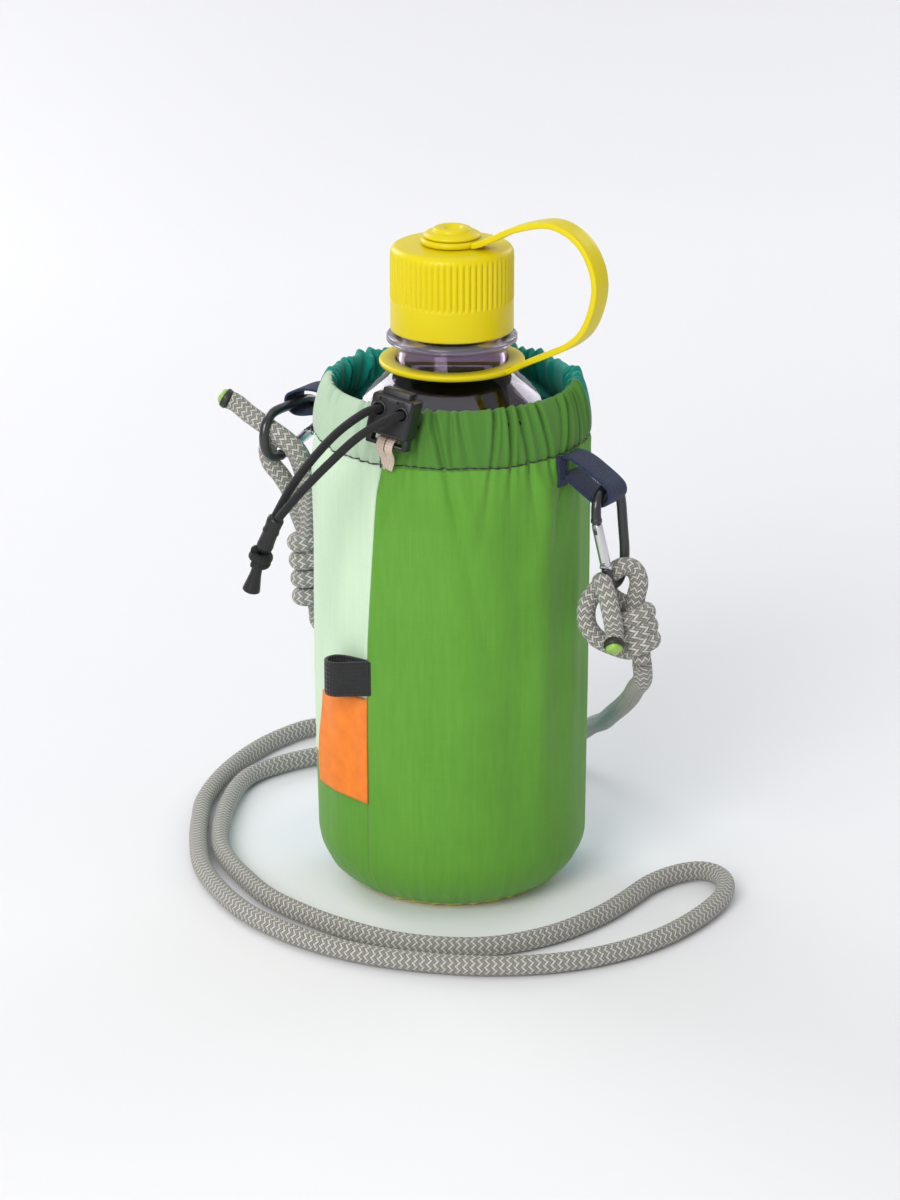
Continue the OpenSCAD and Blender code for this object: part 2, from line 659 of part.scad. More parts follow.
// The gate's own Z runs from its pivot to its free end
module gate() {
  fork = lug_t + 2 * fork_gap;
  translate([0, gate_pivot[0], gate_pivot[1]]) rotate([-gate_lean, 0, 0]) difference() {
    translate([0, 0, -lug_r]) cylinder(h = gate_len + lug_r, r = gate_r, $fn = small_fn);
    translate([-fork / 2, -2 * gate_r, -2 * lug_r]) cube([fork, 4 * gate_r, 3 * lug_r + 0.3 + lug_r - 1]);
    translate([-wire_d, 0, 0]) rotate([0, 90, 0])
      cylinder(h = 2 * wire_d, r = pin_r + run_gap, $fn = small_fn);
    translate([-tongue_t / 2 - part_gap, -2 * gate_r, gate_len - gate_slot_len])
      cube([tongue_t + 2 * part_gap, 4 * gate_r, gate_slot_len + 1]);
    translate([0, 0, gate_spring_z]) cylinder(h = gate_spring_len, r = gate_spring_r, $fn = small_fn);
  }
}

module gate_pin() {
  translate([-pin_len / 2, gate_pivot[0], gate_pivot[1]]) rotate([0, 90, 0])
    cylinder(h = pin_len, r = pin_r, $fn = small_fn);
}

module gate_spring() {
  translate([0, gate_pivot[0], gate_pivot[1]]) rotate([-gate_lean, 0, 0])
    translate([0, 0, gate_spring_z]) cylinder(h = gate_spring_len, r = gate_spring_r, $fn = small_fn);
}

module at_right() { translate(right_hang) rotate([0, right_swing, 0]) children(); }
module at_left() { translate(left_hang) rotate([90, 0, 0]) children(); }

module right_carabiner_frame() { color("black") at_right() carabiner_frame(); }
module right_gate() { color("silver") at_right() gate(); }
module right_gate_pin() { color("silver") at_right() gate_pin(); }
module right_gate_spring() { color("gray") at_right() gate_spring(); }
module left_carabiner_frame() { color("black") at_left() carabiner_frame(); }
module left_gate() { color("silver") at_left() gate(); }
module left_gate_pin() { color("silver") at_left() gate_pin(); }
module left_gate_spring() { color("gray") at_left() gate_spring(); }

module knot(balls) {
  for (i = [0:len(balls) - 2]) hull() for (b = [balls[i], balls[i + 1]])
    translate([b[0], b[1], b[2]]) sphere(r = b[3], $fn = knot_fn);
}

module tip(route) {
  end = route[len(route) - 1];
  rod(end, end + tip_len * unit(end - route[len(route) - 2]), rope_r + tip_extra, rope_r + tip_extra);
}

module rope_knot_right() { color("gray") knot(right_knot_balls); }
module rope_knot_left() { color("gray") knot(left_knot_balls); }
module rope_tail_right() { color("gray") tube(right_tail_route, rope_r, rope_sides); }
module rope_tail_left() { color("gray") tube(left_tail_route, rope_r, rope_sides); }
module rope_tip_right() { color("olivedrab") tip(right_tail_route); }
module rope_tip_left() { color("olivedrab") tip(left_tail_route); }
module rope_leg_right() { color("gray") tube(right_leg_route, rope_r, rope_sides); }
module rope_leg_left() { color("gray") tube(left_leg_route, rope_r, rope_sides); }
module rope_floor() { color("gray") tube(floor_route, rope_r, rope_sides); }

base_panel();
front_panel();
side_panel_upper();
side_panel_lower();
back_panel();
hem_front();
hem_side();
hem_back();
hem_stitching();
drawcord();
label();
webbing_loop();
left_loop();
right_loop();
lock_anchor_tape();
cord_lock_body();
cord_lock_plunger();
cord_lock_spring();
shock_cord_left();
shock_cord_right();
pull_sleeve();
pull_knot();
pull_tail();
bottle_shell();
tether_ring();
tether_strap();
tether_disc();
cap_shell();
cap_button();
cap_liner();
right_carabiner_frame();
right_gate();
right_gate_pin();
right_gate_spring();
left_carabiner_frame();
left_gate();
left_gate_pin();
left_gate_spring();
rope_knot_right();
rope_tail_right();
rope_tip_right();
rope_knot_left();
rope_tail_left();
rope_tip_left();
rope_leg_right();
rope_leg_left();
rope_floor();
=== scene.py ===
import math
import bmesh
import bpy
import numpy as np
from mathutils import Matrix, Vector


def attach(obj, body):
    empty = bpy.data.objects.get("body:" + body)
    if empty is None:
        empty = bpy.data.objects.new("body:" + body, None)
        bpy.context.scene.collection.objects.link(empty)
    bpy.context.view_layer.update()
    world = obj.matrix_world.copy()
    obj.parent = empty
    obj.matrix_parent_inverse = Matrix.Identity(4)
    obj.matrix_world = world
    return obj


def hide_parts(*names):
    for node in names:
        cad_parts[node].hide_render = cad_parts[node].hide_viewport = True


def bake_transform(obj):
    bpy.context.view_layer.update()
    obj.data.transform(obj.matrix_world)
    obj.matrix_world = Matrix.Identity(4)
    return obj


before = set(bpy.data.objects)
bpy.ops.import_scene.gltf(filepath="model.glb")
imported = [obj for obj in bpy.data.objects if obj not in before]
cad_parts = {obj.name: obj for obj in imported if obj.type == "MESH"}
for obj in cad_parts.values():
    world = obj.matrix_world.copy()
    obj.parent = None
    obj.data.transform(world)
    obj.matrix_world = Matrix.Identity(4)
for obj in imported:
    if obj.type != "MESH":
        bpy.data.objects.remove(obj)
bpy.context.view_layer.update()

# ---------------------------------------------------------------- stage, light and camera
# A pale floor curves up into a backdrop, lit from the front with softer lamps beside, behind and above.
# The camera stands a little right of the front seam and looks down on the bottle.

MM = 0.001
COAT, SHEEN, IOR, SPEC = "Coat Weight", "Sheen Weight", "IOR", "Specular IOR Level"


def new_material(name, base, roughness=0.6, **sockets):
    m = bpy.data.materials.new(name)
    m.use_nodes = True
    m.diffuse_color = (*base, 1)
    p = m.node_tree.nodes["Principled BSDF"]
    p.inputs["Base Color"].default_value = (*base, 1)
    p.inputs["Roughness"].default_value = roughness
    for key, value in sockets.items():
        p.inputs[key].default_value = value
    return m, m.node_tree, p


def node(nt, kind, key, socket):
    """Adds a node with a socket linked to its input called key."""
    n = nt.nodes.new(kind)
    nt.links.new(socket, n.inputs[key])
    return n


def calc(nt, op, a, b=0.0, c=0.0):
    n = nt.nodes.new("ShaderNodeMath")
    n.operation = op
    for i, x in enumerate((a, b, c)):
        if isinstance(x, (int, float)):
            n.inputs[i].default_value = x
        else:
            nt.links.new(x, n.inputs[i])
    return n.outputs[0]


def add(nt, a, b):
    return calc(nt, "ADD", a, b)


def mul(nt, a, b):
    return calc(nt, "MULTIPLY", a, b)


def blend_colours(nt, factor, a, b):
    n = nt.nodes.new("ShaderNodeMix")
    n.data_type = "RGBA"
    for i, x in ((0, factor), (6, a), (7, b)):
        if isinstance(x, (int, float)):
            n.inputs[i].default_value = x
        elif isinstance(x, tuple):
            n.inputs[i].default_value = (*x, 1)
        else:
            nt.links.new(x, n.inputs[i])
    return n.outputs[2]


def noise(nt, where, scale, detail=2.0, rough=0.5):
    n = node(nt, "ShaderNodeTexNoise", "Vector", where)
    n.inputs["Scale"].default_value = scale
    n.inputs["Detail"].default_value = detail
    n.inputs["Roughness"].default_value = rough
    return n.outputs[0]


def bump(nt, p, height, strength, distance):
    b = nt.nodes.new("ShaderNodeBump")
    b.inputs["Strength"].default_value = strength
    b.inputs["Distance"].default_value = distance
    nt.links.new(height, b.inputs["Height"])
    nt.links.new(b.outputs[0], p.inputs["Normal"])


def coords(nt, which="Object"):
    return nt.nodes.new("ShaderNodeTexCoord").outputs[which]


def grained(name, base, roughness, scale, detail, strength, depth, **sockets):
    """A material of one colour with a fine grain in its surface, depth in mm."""
    m, nt, p = new_material(name, base, roughness, **sockets)
    bump(nt, p, noise(nt, coords(nt), scale, detail), strength, depth * MM)
    return m


def fit(o, body, slot, *cad):
    """Sets the body a piece rides on and hides the CAD nodes it stands for; slot is not used."""
    if cad:
        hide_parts(*cad)
    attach(o, body)


def mesh_object(name, verts, faces, material, uvs=None, smooth=True):
    """verts in millimetres; uvs is one (u, v) for each vertex."""
    me = bpy.data.meshes.new(name)
    me.from_pydata((np.asarray(verts, float) * MM).tolist(), [], faces)
    me.update()
    if uvs is not None:
        layer = me.uv_layers.new(name="UVMap")
        loops = np.empty(len(me.loops), int)
        me.loops.foreach_get("vertex_index", loops)
        layer.data.foreach_set("uv", np.asarray(uvs, np.float32)[loops].ravel())
    me.polygons.foreach_set("use_smooth", [smooth] * len(me.polygons))
    me.materials.append(material)
    o = bpy.data.objects.new(name, me)
    bpy.context.collection.objects.link(o)
    return o


floor_mat, nt, p = new_material("studio_paper", (0.9, 0.9, 0.905), 0.75)
grain = noise(nt, coords(nt), 3.0, 3.0)
nt.links.new(blend_colours(nt, grain, (0.80, 0.80, 0.815), (0.83, 0.83, 0.84)), p.inputs["Base Color"])

reach, back, rise, bend = 4000, 1900, 3000, 900
profile = [(-reach, -0.2)] + [
    (back - bend + bend * math.sin(a), bend * (1 - math.cos(a)) - 0.2)
    for a in np.linspace(0, math.pi / 2, 24)] + [(back, rise)]
turn = math.radians(33)
verts, faces = [], []
for y, z in profile:
    for x in (-reach, reach):
        verts.append((x * math.cos(turn) - y * math.sin(turn), x * math.sin(turn) + y * math.cos(turn), z))
for i in range(len(profile) - 1):
    faces.append((2 * i, 2 * i + 1, 2 * i + 3, 2 * i + 2))
floor = mesh_object("floor", verts, faces, floor_mat)

cam_data = bpy.data.cameras.new("camera")
cam = bpy.data.objects.new("camera", cam_data)
bpy.context.collection.objects.link(cam)
cam.location = (0.66686, -1.0281, 0.5317)
cam.rotation_euler = Vector((-0.5134, 0.7906, -0.3338)).to_track_quat("-Z", "Y").to_euler()
cam_data.lens, cam_data.sensor_width = 116.2, 36
cam_data.clip_end = 20
bpy.context.scene.camera = cam


def area_light(name, place, target, size, power, colour=(1, 1, 1)):
    data = bpy.data.lights.new(name, "AREA")
    data.shape, data.size, data.energy, data.color = "SQUARE", size, power, colour
    o = bpy.data.objects.new(name, data)
    o.location = place
    o.rotation_euler = (Vector(target) - Vector(place)).to_track_quat("-Z", "Y").to_euler()
    bpy.context.collection.objects.link(o)


area_light("key_front", (0.20, -1.45, 0.95), (0, 0, 0.1), 0.8, 17, (1.0, 0.99, 0.97))
area_light("side_left", (-1.35, 0.40, 0.72), (0, 0, 0.15), 0.7, 7, (0.98, 0.98, 1.0))
area_light("back_right", (0.12, 1.40, 0.70), (0, 0, 0.15), 0.6, 3.5, (0.97, 0.98, 1.0))
area_light("top", (-0.1, 0.1, 2.0), (0, 0, 0), 1.6, 5)
world = bpy.data.worlds.new("studio")
bpy.context.scene.world = world
world.use_nodes = True
world.node_tree.nodes["Background"].inputs[0].default_value = (0.97, 0.975, 1.0, 1)
world.node_tree.nodes["Background"].inputs[1].default_value = 0.58
bpy.context.scene.view_settings.view_transform = "Standard"

# ---------------------------------------------------------------- rope strap
# One length of grey double-braid rope, 6.4 mm thick, with pale flecks in a herringbone.
# It lies round the bottle in a double strand, and each end rises to a knot on a carabiner.

ROPE_D = 6.4
STRANDS, CELL = 16, 1.15
LIE = 3.5


def curve_through(points, step):
    """A smooth curve through the points (mm), as evenly spaced points about step apart."""
    p = np.array(points, float)
    q = np.vstack([2 * p[0] - p[1], p, 2 * p[-1] - p[-2]])
    out = []
    for i in range(1, len(q) - 2):
        t = np.linspace(0, 1, 24, endpoint=False)[:, None]
        a, b, c, d = q[i - 1:i + 3]
        out.append(0.5 * (2 * b + (c - a) * t + (2 * a - 5 * b + 4 * c - d) * t**2
                          + (3 * b - a - 3 * c + d) * t**3))
    dense = np.vstack(out + [p[-1:]])
    s = np.r_[0, np.cumsum(np.linalg.norm(np.diff(dense, axis=0), axis=1))]
    n = max(2, int(round(s[-1] / step)) + 1)
    at = np.linspace(0, s[-1], n)
    return np.stack([np.interp(at, s, dense[:, k]) for k in range(3)], 1), s[-1]


def carried_frames(path):
    """The side and up directions along a path, without twist."""
    t = np.gradient(path, axis=0)
    t /= np.linalg.norm(t, axis=1)[:, None]
    side = np.cross((0, 0, 1) if abs(t[0, 2]) < 0.9 else (0, 1, 0), t[0])
    sides = []
    for v in t:
        side = side - side.dot(v) * v
        side /= np.linalg.norm(side)
        sides.append(side)
    sides = np.array(sides)
    return sides, np.cross(t, sides)


def grid_faces(rows, cols, closed=True):
    f = []
    for i in range(rows - 1):
        for k in range(cols if closed else cols - 1):
            j = (k + 1) % cols
            f.append((i * cols + k, (i + 1) * cols + k, (i + 1) * cols + j, i * cols + j))
    return f


def tube(name, points, radius, sides, step, material, v0=0.0):
    """A closed tube along points (mm), with (turn, length) as its surface coordinates."""
    path, length = curve_through(points, step)
    side, up = carried_frames(path)
    v = np.linspace(0, length, len(path))
    u = np.arange(sides + 1) / sides
    ang = 2 * np.pi * u
    pts = (path[:, None, :] + radius
           * (np.cos(ang)[None, :, None] * side[:, None, :] + np.sin(ang)[None, :, None] * up[:, None, :]))
    rows, cols = len(path), sides + 1
    verts = pts.reshape(-1, 3)
    uvs = np.stack(np.broadcast_arrays(u[None, :], (v + v0)[:, None]), -1).reshape(-1, 2)
    faces = grid_faces(rows, cols, closed=False)
    n = len(verts)
    verts = np.vstack([verts, path[0], path[-1]])
    uvs = np.vstack([uvs, [0.5, v0], [0.5, v0 + length]])
    faces += [(n, k + 1, k) for k in range(sides)]
    last = (rows - 1) * cols
    faces += [(n + 1, last + k, last + k + 1) for k in range(sides)]
    o = mesh_object(name, verts, faces, material, uvs)
    weld(o)
    return o, path, length


def weld(o, distance=0.002 * MM):
    """Joins points that coincide, where a distance is given, and turns every face outwards."""
    bm = bmesh.new()
    bm.from_mesh(o.data)
    if distance:
        bmesh.ops.remove_doubles(bm, verts=bm.verts, dist=distance)
    bmesh.ops.recalc_face_normals(bm, faces=bm.faces)
    bm.to_mesh(o.data)
    bm.free()


rope_mat, nt, p = new_material("braided_rope", (0.4, 0.4, 0.38), 0.62, **{SPEC: 0.35, SHEEN: 0.15})
uv = node(nt, "ShaderNodeSeparateXYZ", "Vector", coords(nt, "UV"))
around, lengthwise = mul(nt, uv.outputs[0], STRANDS), calc(nt, "DIVIDE", uv.outputs[1], CELL)
a, b = add(nt, around, lengthwise), calc(nt, "SUBTRACT", around, lengthwise)
fa, fb = calc(nt, "FLOOR", a), calc(nt, "FLOOR", b)
over = calc(nt, "LESS_THAN", calc(nt, "FLOORED_MODULO", add(nt, fa, fb), 4.0), 2.0)
top_strand = add(nt, mul(nt, over, fa),
                  mul(nt, calc(nt, "SUBTRACT", 1.0, over), fb))
pale = calc(nt, "LESS_THAN", calc(nt, "FLOORED_MODULO", top_strand, 2.0), 0.5)
across = add(nt, mul(nt, over, calc(nt, "FRACT", a)),
              mul(nt, calc(nt, "SUBTRACT", 1.0, over), calc(nt, "FRACT", b)))
edge = calc(nt, "SINE", mul(nt, across, math.pi))
yarn = calc(nt, "SINE", mul(nt, across, 6 * math.pi))
speckle = noise(nt, coords(nt), 900, 3)
strand = blend_colours(nt, pale, (0.27, 0.265, 0.235), (0.70, 0.68, 0.61))
strand = blend_colours(nt, mul(nt, speckle, 0.5), strand, (0.38, 0.37, 0.34))
# The strand edges are painted near black: painted shade in the grooves between strands.
shade = calc(nt, "POWER", edge, 0.7)
nt.links.new(blend_colours(nt, shade, (0.07, 0.07, 0.065), strand), p.inputs["Base Color"])
height = add(nt, mul(nt, calc(nt, "POWER", edge, 0.5), 2.2), mul(nt, yarn, 0.15))
bump(nt, p, add(nt, height, mul(nt, speckle, 0.5)), 0.9, 0.16 * MM)

RIGHT_LEG = [
    (74, 0, 90), (72, 4, 83), (65, 12, 76), (56, 24, 67), (46, 36, 58), (34, 50, 48),
    (22, 64, 38), (9, 79, 29), (-4, 93, 19), (-15, 101, 11), (-28, 105, 5), (-42, 105, LIE)]
FLOOR_ROUTE = [
    (-42, 105), (-60, 101), (-77, 94), (-92, 87), (-110, 77), (-115, 60), (-115, 41), (-111, 19),
    (-103, -3), (-94, -18), (-83, -34), (-67, -53), (-48, -67), (-30, -76), (-10, -81), (7, -82),
    (24, -80), (40, -75), (55, -68), (69, -58), (80, -46), (88, -32), (93, -17), (95, -2), (95, 13),
    (93, 25), (88, 34), (82, 38), (76, 37), (71, 30), (68, 18), (68, 2), (67, -14), (62, -34),
    (52, -51), (39, -61), (22, -67), (4, -68), (-14, -66), (-33, -61), (-50, -52), (-66, -41),
    (-78, -28), (-92, -5), (-102, 20), (-100, 38), (-93, 53), (-86, 59), (-78, 61)]
LEFT_LEG = [
    (-78, 61, LIE), (-66, 61, 7), (-58, 53, 18), (-57, 45, 28), (-57, 37, 38), (-57, 28, 50),
    (-57.5, 20, 60), (-57.5, 10, 71), (-57, 3, 79)]
floor_points = [(x, y, LIE) for x, y in FLOOR_ROUTE]

ROPE_SIDES, ROPE_STEP = 32, 0.9


def rope_tube(name, points, radius=ROPE_D / 2, v0=0.0):
    return tube(name, points, radius, ROPE_SIDES, ROPE_STEP, rope_mat, v0)


leg_r, leg_r_path, leg_r_len = rope_tube("rope_leg_right_braid", RIGHT_LEG)
lying, lying_path, lying_len = rope_tube("rope_floor_braid", floor_points, v0=leg_r_len)
leg_l, leg_l_path, leg_l_len = rope_tube("rope_leg_left_braid", LEFT_LEG, v0=leg_r_len + lying_len)
for piece, cad in ((lying, "rope_floor"), (leg_r, "rope_leg_right"), (leg_l, "rope_leg_left")):
    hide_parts(cad)
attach(lying, "carrier")
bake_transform(leg_r)
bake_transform(leg_l)

# ---------------------------------------------------------------- rope knots and sealed ends
# Each rope end passes through its carabiner, wraps round the standing rope and comes out again.
# The cut end is melted: a dark collar round a green core.

tip_rim_mat = grained("melted_rim", (0.02, 0.022, 0.015), 0.45, 1400, 2, 0.6, 0.15)
tip_core_mat, nt, p = new_material("melted_core", (0.24, 0.50, 0.045), 0.4, **{COAT: 0.3})
mottle = noise(nt, coords(nt), 1100, 4)
nt.links.new(blend_colours(nt, mottle, (0.16, 0.36, 0.03), (0.38, 0.60, 0.12)), p.inputs["Base Color"])
bump(nt, p, mottle, 0.7, 0.2 * MM)


def lathe(name, profile, material, segments=96, relief=None):
    """Turns a profile of (r, z) in mm round Z; relief(theta, z, r) returns a change of radius."""
    prof = np.array(profile, float)
    ang = np.linspace(0, 2 * np.pi, segments, endpoint=False)
    r = np.repeat(prof[:, :1], segments, 1)
    z = np.repeat(prof[:, 1:], segments, 1)
    if relief is not None:
        r = np.maximum(r + relief(ang[None, :], z, r), 0)
    verts = np.stack([r * np.cos(ang), r * np.sin(ang), z], -1).reshape(-1, 3)
    o = mesh_object(name, verts, grid_faces(len(prof), segments), material)
    weld(o)
    return o


def place(o, origin, direction):
    """Moves a mesh so that its own Z lies along direction, from origin (mm)."""
    q = Vector(direction).normalized().to_track_quat("Z", "Y")
    m = q.to_matrix().to_4x4()
    m.translation = Vector(origin) * MM
    o.data.transform(m)
    return o


def round_profile(r, z0, z1, edge, n=5):
    """The closed outline of a disc or rod with rounded edges."""
    low = [(r - edge + edge * math.sin(a), z0 + edge - edge * math.cos(a))
           for a in np.linspace(0, math.pi / 2, n)]
    high = [(r - edge + edge * math.cos(a), z1 - edge + edge * math.sin(a))
            for a in np.linspace(0, math.pi / 2, n)]
    return [(0, z0)] + low + high + [(0, z1)]


WRAP_POINTS = 9


def wraps(low, high, radius, turns, start):
    """Points of a rope wound round the line from low to high; start is its first angle, in turns."""
    low, high = Vector(low), Vector(high)
    axis = (high - low).normalized()
    ex = (Vector((1, 0, 0)) - axis * axis.x).normalized()
    ey = axis.cross(ex)
    out = []
    for k in range(int(turns * WRAP_POINTS) + 1):
        f = k / (turns * WRAP_POINTS)
        a = 2 * math.pi * (start + turns * f)
        out.append(tuple(low.lerp(high, f) + (ex * math.cos(a) + ey * math.sin(a)) * radius))
    return out


RIGHT_KNOT = [
    (74, 0, 90.2), (73.3, 0.2, 94), (71.8, 1, 98), (70.2, 2, 101.5), (68.7, 3.4, 106), (68.3, 5.2, 110.5),
    (68.6, 6.4, 115.4), (66.9, 6.2, 119.3), (64.2, 4, 120.6), (62, 1, 119), (60.2, -1.2, 116.2),
    (58.6, -3.4, 113.6), (57.1, -5.4, 110.8), (56.7, -7, 107), (57.8, -7.8, 102.6), (60.4, -7, 98.8),
    (63.8, -5, 96.4)] + wraps((72.4, 0.6, 95.2), (68.8, 2, 106.4), 4.6, 2.62, 0.66) + [
    (63, 3, 108.6), (60.4, 0.6, 112), (60.0, -3, 116), (62.3, -6.2, 117.6), (65.2, -8.2, 114.4),
    (67.4, -9.2, 109.2), (68.8, -9.7, 104.6), (69.9, -11.1, 101.8), (71.3, -13.6, 100.8)]
LEFT_KNOT = [
    (-57, 3, 79.2), (-56.6, 1.5, 86), (-56, -1, 95), (-56, -2.6, 104), (-56.6, -4, 112),
    (-57.8, -6.4, 119.5), (-57.4, -12, 129.5), (-57.8, -16.5, 136), (-60.2, -19.5, 141.5),
    (-60.2, -20.2, 147.6), (-56.4, -19.2, 150), (-53, -17, 147), (-52.2, -13, 140), (-53, -8.8, 130),
    (-53, -8, 121)] + wraps((-56, -3.2, 113.4), (-56, 0, 88.4), 4.9, 3.7, 0.8) + [
    (-55.6, -1, 92), (-55.2, -3, 102), (-54, -6, 112), (-51.8, -8.4, 121), (-49.4, -11.5, 131.5),
    (-48.1, -15.5, 139.5), (-48.8, -19.4, 147), (-53, -21.8, 151.6), (-59, -22.2, 154.4),
    (-66, -22.7, 157.8), (-71, -23.3, 161), (-73.1, -24.6, 162.1)]

for side, route in (("right", RIGHT_KNOT), ("left", LEFT_KNOT)):
    knot, path, _ = rope_tube(f"rope_knot_{side}_braid", route, ROPE_D / 2 - 0.1)
    end, out = path[-1], path[-1] - path[-8]
    rim = lathe(f"rope_tip_{side}_rim", [
        (0, -0.6), (3.0, -0.6), (3.35, 0.2), (3.45, 1.0), (3.25, 1.7), (2.85, 1.95), (2.55, 1.75), (0, 1.5)],
        tip_rim_mat, 40,
        lambda a, z, r: 0.12 * np.sin(5 * a + 3 * z) * (r > 2))
    core = lathe(f"rope_tip_{side}_core", [
        (0, 1.2), (2.6, 1.2), (2.7, 2.0), (2.4, 2.8), (1.5, 3.4), (0, 3.55)], tip_core_mat, 40,
        lambda a, z, r: 0.15 * np.sin(4 * a + 1.3) * (r > 0.5) * (z > 1.9))
    place(rim, end, out)
    place(core, end, out)
    fit(rim, f"{side}_carabiner", "rope_tip", f"rope_tip_{side}")
    fit(core, f"{side}_carabiner", "rope_tip")
    fit(knot, f"{side}_carabiner", "grey_rope", f"rope_knot_{side}", f"rope_tail_{side}")

# ---------------------------------------------------------------- carrier: walls of coated cloth
# Green front, mint and green side, teal back, sewn edge to edge round the bottle.
# The drawn hem sends sharp creases of many lengths and a few long soft folds down the cloth.

CARRIER_R, CLOTH_T = 45.3, 0.6
FLAT_R, BEND_R = 26.0, 19.3
STITCH_Z, HEM_H = 157.5, 18.5
rng = np.random.default_rng(11)
CREASES = 46
crease_at = (np.arange(CREASES) + rng.uniform(-0.4, 0.4, CREASES)) * 2 * np.pi / CREASES
crease_w = rng.uniform(0.6, 1.15, CREASES)
crease_d = rng.uniform(0.6, 2.0, CREASES)
crease_len = rng.choice([4, 8, 16, 34, 60], CREASES, p=[0.3, 0.26, 0.2, 0.14, 0.1])
crease_lean = rng.uniform(-0.3, 0.3, CREASES)
soft_k = np.array([3, 5, 8, 11, 15, 19])
soft_a = np.array([0.2, 0.18, 0.24, 0.34, 0.34, 0.26])
soft_p = rng.uniform(0, 2 * np.pi, len(soft_k))
foot_k = np.array([31, 43, 58])
foot_p = rng.uniform(0, 2 * np.pi, len(foot_k))


def cloth_relief(theta, z):
    """How far the cloth stands off its plain shape, in mm, at an angle and height."""
    theta, z = np.broadcast_arrays(theta, z)
    lift = np.zeros(theta.shape)
    up = np.clip((z - STITCH_Z) / HEM_H, 0, 1.1)
    for i in range(CREASES):
        centre = crease_at[i] + crease_lean[i] * (z - STITCH_Z) / CARRIER_R
        gap = np.abs(np.mod(theta - centre + np.pi, 2 * np.pi) - np.pi) * CARRIER_R
        below = np.clip(STITCH_Z - z, 0, None)
        w = crease_w[i] * (1 + below / 14)
        fade = np.where(z > STITCH_Z, 0.6 + 0.55 * up, 0.6 * np.exp(-below / crease_len[i]))
        shoulder = 0.5 * np.exp(-((gap - 2.3 * w) / (1.5 * w)) ** 2)
        lift += crease_d[i] * fade * (shoulder - np.exp(-(gap / w) ** 1.4))
    body = np.clip((z - 12) / 60, 0, 1) * np.clip((157 - z) / 8, 0.2, 1)
    for k, a, ph in zip(soft_k, soft_a, soft_p):
        lift += a * body * np.sin(k * theta + ph + 0.35 * np.sin(z / 31 + ph))
    foot = np.exp(-np.abs(z - 4) / 7)
    for k, ph in zip(foot_k, foot_p):
        lift += 0.13 * foot * np.sin(k * theta + ph)
    lift -= 0.35 * np.exp(-((z - STITCH_Z - 0.4) / 0.9) ** 2)
    return np.maximum(lift + 0.55 * body, -0.45 - 0.75 * np.clip((z - 152) / 5, 0, 1))


def seam_angle(z):
    """The front seam leans a little: its angle in radians at height z."""
    return np.radians(np.interp(z, [0, 20, 60, 96, 110, 125, 140, 157, 177],
                                [-95.1, -94.9, -94.5, -93.6, -92.3, -90.8, -89.1, -87.1, -85.6]))


RIPSTOP, THREAD = 4.2, 0.42


def cloth_material(name, base, dark, inside):
    """A plain weave with a heavier ripstop grid, streaked along the cloth; lengths in mm."""
    m, nt, p = new_material(name, base, 0.66, **{SHEEN: 0.1, SPEC: 0.25})
    uv = coords(nt, "UV")
    part = node(nt, "ShaderNodeSeparateXYZ", "Vector", uv)
    warp = calc(nt, "SINE", mul(nt, part.outputs[0], 2 * math.pi / THREAD))
    weft = calc(nt, "SINE", mul(nt, part.outputs[1], 2 * math.pi / THREAD))
    weave = mul(nt, warp, weft)
    rip_u = calc(nt, "LESS_THAN", calc(nt, "FRACT", calc(nt, "DIVIDE", part.outputs[0], RIPSTOP)), 0.09)
    rip_v = calc(nt, "LESS_THAN", calc(nt, "FRACT", calc(nt, "DIVIDE", part.outputs[1], RIPSTOP)), 0.09)
    grid = calc(nt, "MAXIMUM", rip_u, rip_v)
    stretched = node(nt, "ShaderNodeMapping", "Vector", uv)
    stretched.inputs["Scale"].default_value = (1.0, 0.12, 1.0)
    streak = noise(nt, stretched.outputs[0], 0.55, 4, 0.6)
    cloud = noise(nt, coords(nt), 28, 3)
    mixed = add(nt, mul(nt, streak, 0.55), mul(nt, cloud, 0.45))
    ramp = node(nt, "ShaderNodeMapRange", "Value", mixed)
    ramp.inputs[1].default_value, ramp.inputs[2].default_value = 0.34, 0.66
    tone = blend_colours(nt, ramp.outputs[0], dark, base)
    tone = blend_colours(nt, mul(nt, grid, 0.10), tone, tuple(min(1, c * 1.18) for c in base))
    # Inner faces are painted halfway to a darker copy of the cloth colour (inside): painted shade inside the bag.
    back = nt.nodes.new("ShaderNodeNewGeometry").outputs["Backfacing"]
    nt.links.new(blend_colours(nt, mul(nt, back, 0.5), tone, inside), p.inputs["Base Color"])
    height = add(nt, mul(nt, weave, 0.35), mul(nt, grid, 0.5))
    height = add(nt, height, mul(nt, streak, 1.2))
    bump(nt, p, height, 0.35, 0.10 * MM)
    return m


# The last colour of each cloth is the painted shade of its inner faces.
green_mat = cloth_material("green_cloth", (0.118, 0.335, 0.034), (0.098, 0.288, 0.027), (0.03, 0.1, 0.02))
mint_mat = cloth_material("mint_cloth", (0.60, 0.775, 0.565), (0.55, 0.73, 0.515), (0.3, 0.4, 0.3))
teal_mat = cloth_material("teal_cloth", (0.0, 0.40, 0.32), (0.0, 0.34, 0.27), (0.0, 0.12, 0.1))
yellow_mat = cloth_material("yellow_cloth", (0.72, 0.63, 0.06), (0.66, 0.57, 0.05), (0.3, 0.26, 0.03))


